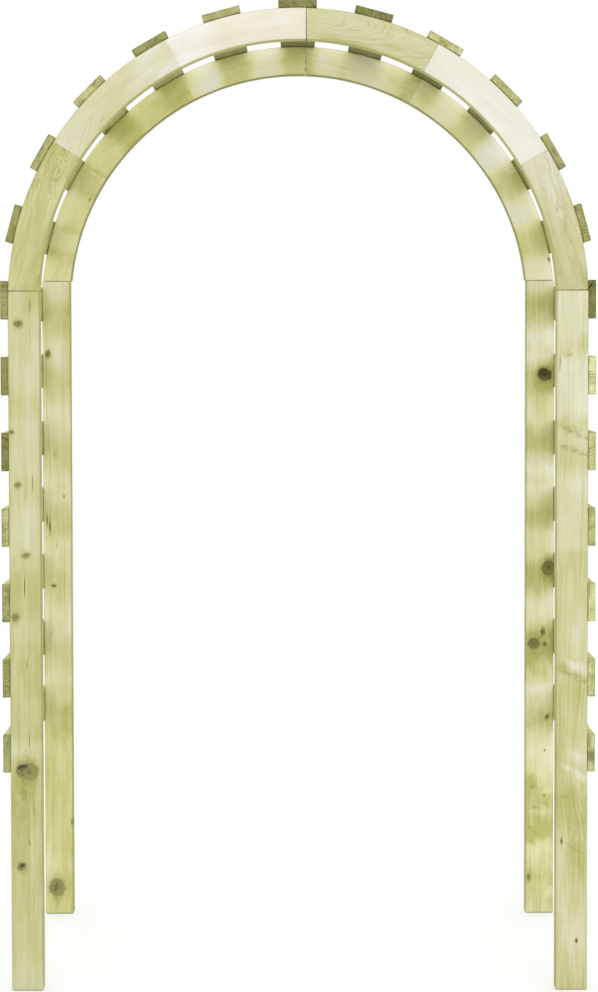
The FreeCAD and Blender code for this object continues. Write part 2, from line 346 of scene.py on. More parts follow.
class PineGrain(NodeGroup):
    """Growth rings round a heart that lies beside or behind the board's face, with fibres and blotches."""

    NAME = "pine_grain"
    INPUTS = sockets("Grain", SocketKind.VECTOR) | sockets(
        "Board, Ring Width, Heart Across, Heart Depth, Heart Slope, Wander, Ripple, Swell"
    )
    OUTPUTS = sockets("Late Wood, Fibre, Blotch, Drift, Stain, Speckle, Smudge")
    BOARD_SHIFT = (1.37, 0.173, 0.291)
    SLOW_WAVES = (3.2, 12.0, 12.0)
    QUICK_WAVES = (24.0, 40.0, 40.0)
    FADING_WAVES = (6.0, 24.0, 24.0)
    STAIN_WAVES = (1.6, 85.0, 85.0)
    NOISES = {
        "Fibre": ((9.0, 420.0, 420.0), *FINE_NOISE),
        "Blotch": ((4.2, 15.0, 15.0),),
        "Drift": ((8.0, 75.0, 75.0),),
        "Speckle": ((40.0, 190.0, 210.0), *FINE_NOISE),
        "Smudge": ((20.0, 40.0, 60.0),),
    }
    YEARS_PER_WAVE = 0.45
    UNEVEN_GROWTH = 2.2
    GROWTH_SHIFT, CHANCE_SHIFT = 3.1, 7.0
    LEAST_WEIGHT = 0.25
    LATE_RISE, LATE_FALL = (0.25, 0.86), (0.88, 1.0, 1.0, 0.0)
    FADING = (0.36, 0.62, 0.2, 1.0)
    STAINED = (0.52, 0.76)

    def fill(self, graph: Graph, given: Given) -> dict[str, Signal]:
        """Adds the nodes."""
        grain, board = given["Grain"], given["Board"]
        where = grain + graph.join(*(board * shift for shift in self.BOARD_SHIFT))
        slow = graph.noise(where, self.SLOW_WAVES, detail=1.0) - 0.5
        quick = graph.noise(where, self.QUICK_WAVES, detail=1.0) - 0.5
        along, across, depth = grain.split()
        heart = along * given["Heart Slope"] + given["Heart Depth"]
        distance = graph.join(across - given["Heart Across"], depth - heart, 0.0).apply("LENGTH")
        bent = distance + slow * given["Wander"] + quick * given["Ripple"] + given["Swell"]
        years = bent / given["Ring Width"]
        growth = graph.out("ShaderNodeTexNoise", {
            "W": years + board * self.GROWTH_SHIFT, "Scale": self.YEARS_PER_WAVE, "Detail": 1.0,
        }, noise_dimensions="1D")
        phase = years + growth * self.UNEVEN_GROWTH
        ring = phase.apply("FRACT")
        chance = graph.chance(board * self.CHANCE_SHIFT + phase.apply("FLOOR"))
        fading = graph.noise(where, self.FADING_WAVES, detail=1.0).step(*self.FADING)
        weight = (chance * (1.0 - self.LEAST_WEIGHT) + self.LEAST_WEIGHT) * fading
        late = ring.step(*self.LATE_RISE) * ring.step(*self.LATE_FALL) * weight
        stain = graph.noise(where, self.STAIN_WAVES).step(*self.STAINED)
        noises = {name: graph.noise(where, *waves) for name, waves in self.NOISES.items()}
        return {"Late Wood": late, "Stain": stain, **noises}


class BranchKnot(NodeGroup):
    """One branch that ran through the board: a ragged core, its stain, and rings bent round it."""

    NAME = "branch_knot"
    INPUTS = sockets("Grain", SocketKind.VECTOR) | sockets(
        "Along, Across, Half Length, Half Width, Lean, Cover, Tone, Core, Depth, Flame, Swell, Heart Side"
    )
    OUTPUTS = sockets("Core, Depth, Flame, Swell")
    RAGGED_WAVES = (95.0, 95.0, 95.0)
    FLECK_WAVES = (240.0, 240.0, 240.0)
    FLECK_NOISE = (3.0, 0.65)
    OUTLINE_RAGGED, OUTLINE_FLECK = 0.55, 0.12
    RING_TURNS, RING_RAGGED = 5.5, 4.0
    COVER_RINGS, COVER_FLECK = 1.1, 0.8
    RIM_START, RIM_START_GAIN, RIM_STOP = 0.04, 0.72, 1.08
    SHADE_RINGS, SHADE_FLECK, SHADE_SLANT = 0.26, 0.5, 0.16
    TAIL_UP, TAIL_SIDE, TAIL_RAGGED = 0.34, 0.62, 0.6
    TAIL_FADE = (0.2, 1.1, 1.0, 0.0)
    SWELL_FALLOFF = -0.35
    PARTING_EASE, PARTING_REACH = 0.8, 1.3

    def fill(self, graph: Graph, given: Given) -> dict[str, Signal]:
        """Adds the nodes."""
        grain, whole = given["Grain"], given["Cover"]
        along, across, _ = grain.split()
        beyond, aside = along - given["Along"], across - given["Across"]
        cosine, sine = given["Lean"].apply("COSINE"), given["Lean"].apply("SINE")
        up = (beyond * cosine + aside * sine) / given["Half Length"]
        side = (aside * cosine - beyond * sine) / given["Half Width"]
        plain = graph.join(up, side, 0.0).apply("LENGTH")
        ragged = graph.noise(grain, self.RAGGED_WAVES, *FINE_NOISE) - 0.5
        fleck = graph.noise(grain, self.FLECK_WAVES, *self.FLECK_NOISE) - 0.5
        away = plain + ragged * self.OUTLINE_RAGGED + fleck * self.OUTLINE_FLECK
        turns = (away * self.RING_TURNS + ragged * self.RING_RAGGED).apply("COSINE")
        patchy = turns * whole * (1.0 - whole) * self.COVER_RINGS + fleck * whole * self.COVER_FLECK
        rim = away.step(whole * self.RIM_START_GAIN + self.RIM_START, self.RIM_STOP, 1.0, 0.0)
        core = rim * (whole + patchy).clamped()
        slant = up * self.SHADE_SLANT - side * self.SHADE_SLANT
        shade = given["Tone"] + turns * self.SHADE_RINGS + fleck * self.SHADE_FLECK + slant
        tail = graph.join(up * self.TAIL_UP, side * self.TAIL_SIDE, 0.0).apply("LENGTH")
        flame = (tail + ragged * self.TAIL_RAGGED).step(*self.TAIL_FADE) * whole
        falloff = (plain * plain * self.SWELL_FALLOFF).apply("EXPONENT")
        parted = side / (abs(side) + self.PARTING_EASE) * self.PARTING_REACH
        parting = parted * given["Half Width"] * given["Heart Side"]
        return {
            "Core": core.most(given["Core"]),
            "Depth": given["Depth"] + core * (shade - given["Depth"]),
            "Flame": flame.most(given["Flame"]),
            "Swell": given["Swell"] + falloff * parting,
        }


class ResinStreak(NodeGroup):
    """One thin dark line of resin, drawn between two points of a board."""

    NAME = "resin_streak"
    INPUTS = sockets("Grain, Start, Run", SocketKind.VECTOR) | sockets("Half Width, Darkness, Streak, Bow")
    OUTPUTS = sockets("Streak")
    WAVER_WAVES = (60.0, 60.0, 60.0)
    BREAK_WAVES = (110.0, 60.0, 60.0)
    WAVER = 12.0 * MM
    TAPER_START, TAPER_RUN = 0.27, 2.6
    FLAT = (1.0, 1.0, 0.0)
    FULL_BOW = 4.0
    BROKEN = (0.36, 0.64, 0.25, 1.0)

    def fill(self, graph: Graph, given: Given) -> dict[str, Signal]:
        """Adds the nodes."""
        grain, run = given["Grain"], given["Run"]
        waver = (graph.noise(grain, self.WAVER_WAVES) - 0.5) * self.WAVER
        away = grain * self.FLAT - given["Start"] + graph.join(waver, 0.0, 0.0)
        share = (away.apply("DOT_PRODUCT", run) / run.apply("DOT_PRODUCT", run)).clamped()
        bow = share * (1.0 - share) * self.FULL_BOW * given["Bow"]
        nearest = run * share + graph.join(bow, 0.0, 0.0)
        width = given["Half Width"] * (share * self.TAPER_RUN + self.TAPER_START).apply("SINE")
        line = ((away - nearest).apply("LENGTH") / width).step(0.0, 1.0, 1.0, 0.0)
        broken = graph.noise(grain, self.BREAK_WAVES, *FINE_NOISE).step(*self.BROKEN)
        return {"Streak": (line * broken * given["Darkness"]).most(given["Streak"])}


class TonePatch(NodeGroup):
    """One soft patch of paler sapwood or of greener, deeper treated wood."""

    NAME = "tone_patch"
    INPUTS = sockets("Grain", SocketKind.VECTOR) | sockets(
        "Along, Across, Half Length, Half Width, Slope, Softness, Tone, Patch"
    )
    OUTPUTS = sockets("Patch")
    RAGGED_WAVES = (30.0, 55.0, 55.0)
    RAGGED = 2.4

    def fill(self, graph: Graph, given: Given) -> dict[str, Signal]:
        """Adds the nodes."""
        grain, softness = given["Grain"], given["Softness"]
        along, across, _ = grain.split()
        aside = across - given["Across"]
        up = (along - given["Along"] + aside * given["Slope"]) / given["Half Length"]
        ragged = graph.noise(grain, self.RAGGED_WAVES, *FINE_NOISE) - 0.5
        plain = graph.join(up, aside / given["Half Width"], 0.0).apply("LENGTH")
        away = plain + ragged * softness * self.RAGGED
        mask = away.step(1.0 - softness, softness + 1.0, 1.0, 0.0)
        return {"Patch": given["Patch"] + mask * given["Tone"]}


class PaintedSlatShade(NodeGroup):
    """Painted light and shade on a board's inner face beside a row of slats: a greener painted shadow behind
    each slat, a paler painted light between them.
    """

    NAME = "slat_shelter"
    INPUTS = sockets("Grain", SocketKind.VECTOR) | sockets("Travel, First, Pitch, Last, Half Depth, Strength")
    OUTPUTS = sockets("Shelter")
    RAGGED_WAVES = (14.0, 26.0, 26.0)
    RAGGED = 0.28
    BLEACHED = (-0.8, 0.8, 1.0, -1.0)
    INNER_FACE = (0.5 * MM, 5.0 * MM, 1.0, 0.0)

    def fill(self, graph: Graph, given: Given) -> dict[str, Signal]:
        """Adds the nodes."""
        grain, travel, pitch, last = (given[name] for name in ("Grain", "Travel", "Pitch", "Last"))
        ragged = graph.noise(grain, self.RAGGED_WAVES) - 0.5
        count = (travel - given["First"]) / pitch + ragged * self.RAGGED
        # painted shadow under each slat and painted light between the slats, as a wave along the row
        light_and_shade = (count * (2 * math.pi)).apply("COSINE").step(*self.BLEACHED)
        inner = (grain.split()[2] + given["Half Depth"]).step(*self.INNER_FACE)
        reached = inner * travel.step(last - pitch, last)
        return {"Shelter": light_and_shade * reached * given["Strength"]}


class ScatteredKnots(NodeGroup):
    """Small knots strewn over many boards, each board with its own."""

    NAME = "scattered_knots"
    INPUTS = sockets("Grain", SocketKind.VECTOR) | sockets("Board, Size")
    OUTPUTS = BranchKnot.OUTPUTS
    CELLS_ALONG, CELLS_ACROSS = 7.0, 9.0
    BOARD_SHIFT, FIRST_SHIFT = -3.7, 88.8
    RAGGED = 0.7
    CORE_FADE, FLAME_FADE = (0.5, 1.2, 1.0, 0.0), (0.4, 2.4, 1.0, 0.0)
    RING_TURNS, RING_SHADE, SHADE = 10.0, 0.16, 0.5
    SWELL = 16.0 * MM

    def fill(self, graph: Graph, given: Given) -> dict[str, Signal]:
        """Adds the nodes."""
        along, across, _ = given["Grain"].split()
        ragged = graph.noise(given["Grain"], BranchKnot.RAGGED_WAVES, *FINE_NOISE) - 0.5
        shift = given["Board"] * self.BOARD_SHIFT + self.FIRST_SHIFT
        where = graph.join(along * self.CELLS_ALONG, across * self.CELLS_ACROSS, shift)
        cells = graph.out("ShaderNodeTexVoronoi", {"Vector": where, "Scale": 1.0}, "Distance")
        plain = cells / given["Size"]
        away = plain + ragged * self.RAGGED
        falloff = (plain * plain * BranchKnot.SWELL_FALLOFF).apply("EXPONENT")
        return {
            "Core": away.step(*self.CORE_FADE),
            "Depth": (away * self.RING_TURNS).apply("SINE") * self.RING_SHADE + self.SHADE,
            "Flame": away.step(*self.FLAME_FADE),
            "Swell": falloff * self.SWELL,
        }


class PineColour(NodeGroup):
    """Colour, roughness and height of treated pine, from the masks of the other groups."""

    NAME = "pine_colour"
    INPUTS = sockets("Base, Pale, Green, Side, Sawn, Knot, Dark", SocketKind.COLOUR) | sockets(
        "Figure, Late Wood, Fibre, Blotch, Drift, Stain, Speckle, Smudge, Patch, Edge, Rim, Shelter, Core, "
        "Depth, Flame, Streak, Cut, End"
    )
    OUTPUTS = sockets("Color", SocketKind.COLOUR) | sockets("Roughness, Height")
    PLAIN_ROUGH, FIBRE_ROUGH, END_ROUGH, MARK_ROUGH = 0.58, 0.22, 0.12, -0.14
    LATE_HEIGHT, FIBRE_HEIGHT, END_HEIGHT, MARK_HEIGHT = 0.4, 0.5, 0.9, -0.5
    BLOTCH_TONE, SMUDGE_TONE, DRIFT_TONE, DRIFT_GAIN = 1.5, 0.7, 1.2, 2.5
    STAIN_TONE, FLAME_TONE = -0.2, -0.6
    LATE_STAIN = 0.35
    FIBRE_SHADE, LEAST_FIBRE = 0.16, 0.92
    FLAME_STAIN = (0.45, 1.0, 0.0, 0.5)
    SPECKLE_SAWN, SMUDGE_SAWN, LATE_SAWN, LEAST_SAWN = 1.4, 1.3, -1.15, 0.1
    YELLOWING = 1.5
    SAWN_KNOT_DEPTH = 0.35
    SAWN_KNOT_COVER = (0.3, 0.6, 0.45, 0.95)

    def fill(self, graph: Graph, given: Given) -> dict[str, Signal]:
        """Adds the nodes."""
        late, fibre, end = given["Late Wood"], given["Fibre"], given["End"]
        marks = given["Core"].most(given["Streak"])
        return {
            "Color": graph.mix(end, self.face(graph, given), self.sawn_end(graph, given)),
            "Roughness": (
                fibre * self.FIBRE_ROUGH + end * self.END_ROUGH + marks * self.MARK_ROUGH + self.PLAIN_ROUGH
            ),
            "Height": (
                late * self.LATE_HEIGHT + fibre * self.FIBRE_HEIGHT + marks * self.MARK_HEIGHT
                + end * given["Speckle"] * self.END_HEIGHT
            ),
        }

    def face(self, graph: Graph, given: Given) -> Signal:
        """Mixes the colour of the planed faces.

        Args:
            graph: The group's own tree.
            given: The group's inputs by name.

        Returns:
            The colour, with the knots, streaks and cracks, and with painted shade and light: the slats'
            painted shadows, the deeper edges and sides, and the painted shade in cracks and joints.
        """
        knot, dark, figure, flame = (given[name] for name in ("Knot", "Dark", "Figure", "Flame"))
        lines = given["Late Wood"] * figure
        blotch, smudge, drift = (given[name] - 0.5 for name in ("Blotch", "Smudge", "Drift"))
        tone = given["Patch"] + blotch * self.BLOTCH_TONE + smudge * self.SMUDGE_TONE
        tone = tone + drift * (figure * self.DRIFT_GAIN).clamped() * self.DRIFT_TONE
        # the painted slat shadows, and the painted light between the slats, come in with the tone
        tone = tone - lines + given["Shelter"] + given["Stain"] * self.STAIN_TONE
        tone = tone + flame * self.FLAME_TONE - given["Edge"]
        colour = graph.mix(tone.clamped(), given["Base"], given["Pale"])
        colour = graph.mix((-tone).clamped(), colour, given["Green"])
        colour = graph.mix((lines * self.LATE_STAIN).clamped(), colour, knot)
        colour = graph.tint(colour, given["Fibre"] * self.FIBRE_SHADE + self.LEAST_FIBRE)
        # darker sides: partly the wood's own tone, partly painted shade
        colour = graph.mix(given["Rim"], colour, given["Side"])
        colour = graph.mix(flame.step(*self.FLAME_STAIN), colour, knot)
        colour = graph.mix(given["Core"], colour, graph.mix(given["Depth"].clamped(), knot, dark))
        colour = graph.mix(given["Streak"], colour, knot)
        # painted shade in the cracks and at the joints
        return graph.mix(given["Cut"], colour, dark)

    def sawn_end(self, graph: Graph, given: Given) -> Signal:
        """Mixes the colour of the sawn ends.

        Args:
            graph: The group's own tree.
            given: The group's inputs by name.

        Returns:
            The colour, with its speckles, its knots and its dark outline.
        """
        speckle = given["Speckle"]
        tone = speckle * self.SPECKLE_SAWN + given["Smudge"] * self.SMUDGE_SAWN
        tone = (tone + given["Late Wood"] * self.LATE_SAWN + self.LEAST_SAWN).most(self.LEAST_SAWN)
        sawn = graph.tint(given["Sawn"], graph.join(tone, tone, tone.apply("POWER", self.YELLOWING)))
        knot = graph.mix(self.SAWN_KNOT_DEPTH, given["Knot"], given["Dark"])
        knotted = graph.mix(given["Core"] * speckle.step(*self.SAWN_KNOT_COVER), sawn, knot)
        return graph.mix(given["Rim"], knotted, given["Dark"])


# Marks and figures of the wood

def socket_values(record: Any, lengths: Sequence[str] = ()) -> dict[str, Any]:
    """Gives a record's fields by the names of the sockets that they feed.

    Args:
        record: The record, a dataclass.
        lengths: The fields in millimetres, which are turned into metres.

    Returns:
        The values by socket name.
    """
    values = {}
    for entry in fields(record):
        value = getattr(record, entry.name)
        values[entry.name.replace("_", " ").title()] = value * MM if entry.name in lengths else value
    return values


@dataclass(frozen=True)
class RingPattern:
    """Where a board lay in the log, and how strongly its growth rings figure its face."""

    ring_width: float
    heart_across: float
    heart_depth: float
    heart_slope: float
    wander: float
    ripple: float
    figure: float


class Figure(Enum):
    """The ways the growth rings show on a board's face."""

    STRIPED = RingPattern(6.5 * MM, 0.15, 0.05, 0.0, 30 * MM, 6 * MM, 0.4)
    CLOUDED = RingPattern(9.0 * MM, 0.15, 0.05, 0.0, 50 * MM, 10 * MM, 0.16)
    SLANTED = RingPattern(6.0 * MM, -0.150, 0.150, 0.26, 30 * MM, 6 * MM, 0.26)
    FLAMED = RingPattern(3.6 * MM, 0.014, 0.030, -0.19, 30 * MM, 10 * MM, 0.75)
    WAVY = RingPattern(4.6 * MM, -0.080, 0.045, 0.03, 80 * MM, 22 * MM, 1.1)
    CURLED = RingPattern(3.0 * MM, -0.120, 0.040, 0.02, 50 * MM, 42 * MM, 0.95)
    QUIET = RingPattern(7.0 * MM, 0.130, 0.020, 0.0, 40 * MM, 8 * MM, 0.15)
    LAYERED = RingPattern(4.2 * MM, 0.0, 0.0, 0.0, 14 * MM, 3 * MM, 0.45)


@dataclass(frozen=True)
class KnotTone:
    """How much of a knot shows, and how dark it is."""

    cover: float
    tone: float


class KnotKind(Enum):
    """The knots of this wood."""

    DEAD = KnotTone(1.0, 1.05)
    DARK = KnotTone(0.97, 0.43)
    LIVE = KnotTone(0.93, 0.28)
    FAINT = KnotTone(0.42, 0.0)
    HIDDEN = KnotTone(0.0, 0.0)


@dataclass(frozen=True)
class Mark:
    """Something to be seen on a board, measured along and across it in millimetres."""

    LENGTHS: ClassVar[tuple[str, ...]] = ("along", "across", "half_length", "half_width", "bow")

    def values(self) -> dict[str, Any]:
        """Gives the values of the sockets that draw the mark."""
        return socket_values(self, self.LENGTHS)


@dataclass(frozen=True)
class Knot(Mark):
    """One knot, by its place, its half sizes, its kind and how far it leans."""

    along: float
    across: float
    half_length: float
    half_width: float
    kind: KnotKind = KnotKind.LIVE
    lean: float = 0.0

    def values(self) -> dict[str, Any]:
        """Adds the values of the knot's kind."""
        return super().values() | socket_values(self.kind.value)


@dataclass(frozen=True)
class Streak(Mark):
    """One dark line, from a start to an end given as (along, across)."""

    start: tuple[float, float]
    end: tuple[float, float]
    half_width: float
    darkness: float
    bow: float = 0.0

    def values(self) -> dict[str, Any]:
        """Adds the line's start and run as vectors."""
        start, end = (Vector((*point, 0.0)) * MM for point in (self.start, self.end))
        return super().values() | {"Start": start, "Run": end - start}


@dataclass(frozen=True)
class Patch(Mark):
    """A soft patch of paler wood, or of greener wood where its tone is below 0."""

    along: float
    half_length: float
    tone: float
    softness: float = 0.5
    across: float = 0.0
    half_width: float = 90.0
    slope: float = 0.0


@dataclass(frozen=True)
class SlatShadeRow:
    """The row of slats beside a board, for the painted shade and light that it leaves there: one slat's
    place, their pitch, the last slat, and how strongly the painted pattern shows.
    """

    first: float
    pitch: float
    last: float
    strength: float


@dataclass(frozen=True)
class Check:
    """A drying crack along the grain on a board's front face, measured in millimetres."""

    across: float
    low: float
    high: float
    width: float = 1.3
    depth: float = 5.0
    lip: float = 1.0
    waver: float = 0.3
    stations: ClassVar[int] = 9
    least_swell: ClassVar[float] = 0.06
    waver_turn: ClassVar[float] = 5.0
    waver_start: ClassVar[float] = 0.04
    skin: ClassVar[float] = 0.2

    def wedge(self, board: "Board") -> list[list[Vector]]:
        """Gives the outlines of the wedge that cuts the crack.

        Args:
            board: The board to be cut.

        Returns:
            The outlines from the crack's low end to its high one.
        """
        outlines = []
        for station in range(self.stations):
            share = station / (self.stations - 1)
            swell = self.least_swell + (1 - self.least_swell) * math.sin(math.pi * share)
            along = self.low + (self.high - self.low) * share
            turn = self.waver_turn * share + self.waver_start * self.low
            middle = self.across + self.waver * math.sin(turn)
            half = self.width / 2 * swell
            corners = ((middle - half, -self.lip), (middle + half, -self.lip), (middle, self.depth * swell))
            outlines.append([
                board.place(along * MM, across * MM, depth * MM - board.half_depth)
                for across, depth in corners
            ])
        return outlines

    def holds(self, grain: Vector, board: "Board") -> bool:
        """Tells whether a face, by the place of its middle in the board, is a wall of the crack."""
        inside = abs(grain.z) < board.half_depth - self.skin * MM
        beside = abs(grain.y - self.across * MM) < self.width * MM
        return inside and beside and self.low * MM < grain.x < self.high * MM


@dataclass(frozen=True)
class Look:
    """What differs from one board to the next: its colours, its figure, its marks and the painted shade and
    light of the slats beside it.
    """

    base: Colour
    figure: Figure
    knots: tuple[Knot, ...] = ()
    streaks: tuple[Streak, ...] = ()
    patches: tuple[Patch, ...] = ()
    checks: tuple[Check, ...] = ()
    slats: Optional[SlatShadeRow] = None
    treated: Colour = (0.74, 0.76, 0.46)

    def tone(self, factors: Sequence[float], brightest: float = 0.92) -> Colour:
        """Gives the base colour times a factor for each channel."""
        return tuple(min(channel * factor, brightest) for channel, factor in zip(self.base, factors))


# Finishes

@dataclass(frozen=True)
class Finish:
    """A material, by its name."""

    name: str

    def make(self) -> bpy.types.Material:
        """Builds the material.

        Returns:
            The finished material.
        """
        material = bpy.data.materials.new(self.name)
        material.use_nodes = True
        material.node_tree.nodes.clear()
        graph = Graph(material.node_tree)
        graph.node("ShaderNodeOutputMaterial", {"Surface": self.surface(graph)})
        return material

    def surface(self, graph: Graph) -> Signal:
        """Adds the shader, which is a Principled BSDF unless a finish has another."""
        return graph.out("ShaderNodeBsdfPrincipled", self.inputs(graph))

    def inputs(self, graph: Graph) -> dict[str, Any]:
        """Gives what feeds the Principled BSDF."""
        raise NotImplementedError


@dataclass(frozen=True)
class PineFinish(Finish):
    """Planed pine, pressure-treated to a pale yellow-green."""

    look: Look
    board: float
    side: Colour = (0.262, 0.254, 0.080)
    knot: Colour = (0.262, 0.254, 0.080)
    dark: Colour = (0.055, 0.052, 0.018)
    half_width: float = 35 * MM
    half_depth: float = 14 * MM
    edge_band: float = 5 * MM
    edge_depth: float = 0.25
    side_band: tuple[float, float] = (2.0 * MM, 0.3 * MM)
    foot_band: tuple[float, float] = (1.0 * MM, 4.5 * MM)
    foot_gain: float = 1.5
    rim_depth: float = 0.4
    pale: Colour = (1.19, 1.2, 1.72)
    sawn: Colour = (0.62, 0.62, 0.45)
    bump: float = 0.25
    bump_height: float = 0.5 * MM
    gloss: float = 0.3

    def number(self, graph: Graph) -> Any:
        """Gives the number that makes this board differ from the others."""
        return self.board

    def marks(self, grain: Signal, board: Any) -> dict[str, Any]:
        """Adds the board's knots, streaks and patches, each over the ones before.

        Args:
            grain: The board's own coordinates.
            board: The board's number.

        Returns:
            The masks Core, Depth, Flame, Swell, Streak and Patch.
        """
        look = self.look
        shared = {"Grain": grain, "Heart Side": math.copysign(1.0, look.figure.value.heart_across)}
        found: dict[str, Any] = {}
        drawn = ((BranchKnot(), look.knots), (ResinStreak(), look.streaks), (TonePatch(), look.patches))
        for group, marks in drawn:
            masks: Values = {name: 0.0 for name in group.OUTPUTS}
            for mark in marks:
                masks = group.place(grain.graph, {**shared, **mark.values(), **masks})
            found.update(masks)
        return found

    def aside(self, grain: Signal) -> Signal:
        """Gives a point's distance from the board's middle line."""
        return abs(grain.split()[1])

    def edge(self, grain: Signal) -> Any:
        """Gives the deeper tone towards the long edges, where the treatment soaked in, with painted shade
        along the rounded arrises.
        """
        return self.aside(grain).step(self.half_width - self.edge_band, self.half_width, 0.0, self.edge_depth)

    def sides(self, grain: Signal) -> Signal:
        """Gives the narrow sides, which are darker than the faces."""
        first, last = (self.half_width - inset for inset in self.side_band)
        return self.aside(grain).step(first, last, 0.0, self.rim_depth)

    def rim(self, grain: Signal, end: Signal) -> Signal:
        """Gives the sides and, darker, the foot's arris."""
        foot = grain.split()[0].step(*self.foot_band, self.foot_gain * self.rim_depth, 0.0)
        return self.sides(grain).most(foot)

    def travel(self, grain: Signal) -> Signal:
        """Gives how far along the row of slats a point lies."""
        return grain.split()[0]

    def shelter(self, grain: Signal) -> dict[str, Signal]:
        """Gives the painted shade and light that the slats beside the board leave on its inner face, where it
        has them.
        """
        if self.look.slats is None:
            return {}
        values = {"Grain": grain, "Travel": self.travel(grain), "Half Depth": self.half_depth}
        return PaintedSlatShade().place(grain.graph, values | socket_values(self.look.slats))

    def heart(self, board: Any) -> dict[str, Signal]:
        """Gives another place of the log's heart than the figure's, if the board has one."""
        return {}

    def colours(self, grain: Signal, board: Any) -> dict[str, Any]:
        """Gives the colours that the wood is mixed from."""
        look = self.look
        factors = {"Pale": self.pale, "Green": look.treated, "Sawn": self.sawn}
        return {"Base": look.base} | {name: look.tone(factor) for name, factor in factors.items()}

    def inputs(self, graph: Graph) -> dict[str, Any]:
        """Gives what feeds the Principled BSDF.

        Args:
            graph: The material's graph.

        Returns:
            The signals and values by socket name.
        """
        grain = graph.attribute("grain", "Vector")
        end = graph.attribute("end")
        board = self.number(graph)
        values = {"Grain": grain, "Board": board}
        values |= socket_values(self.look.figure.value) | self.heart(board) | self.marks(grain, board)
        values |= PineGrain().place(graph, values) | self.shelter(grain) | self.colours(grain, board)
        values |= {"Knot": self.knot, "Dark": self.dark, "Side": self.side, "End": end}
        values |= {"Cut": graph.attribute("cut"), "Edge": self.edge(grain), "Rim": self.rim(grain, end)}
        seen = PineColour().place(graph, values)
        return {
            "Base Color": seen["Color"], "Roughness": seen["Roughness"], "Specular IOR Level": self.gloss,
            "Normal": graph.bump(seen["Height"], self.bump, self.bump_height),
        }


@dataclass(frozen=True)
class RingPine(PineFinish):
    """The same wood for a ring segment, whose long edges are two circles."""

    centre_height: float = 0.0
    middle_radius: float = 0.0
    edge_depth: float = 0.5
    rim_depth: float = 0.85

    def from_axis(self, graph: Graph) -> Signal:
        """Gives a point's offset from the ring's axis."""
        return (graph.place() - (0.0, 0.0, self.centre_height)) * (1.0, 0.0, 1.0)

    def travel(self, grain: Signal) -> Signal:
        """Gives the angle round the ring."""
        side, _, rise = self.from_axis(grain.graph).split()
        return rise.apply("ARCTAN2", side)

    def aside(self, grain: Signal) -> Signal:
        """Gives a point's distance from the ring's middle circle."""
        return abs(self.from_axis(grain.graph).apply("LENGTH") - self.middle_radius)

    def rim(self, grain: Signal, end: Signal) -> Signal:
        """Gives the band-sawn round sides, darkened by soaked-in treatment and by painted shade."""
        return self.sides(grain)


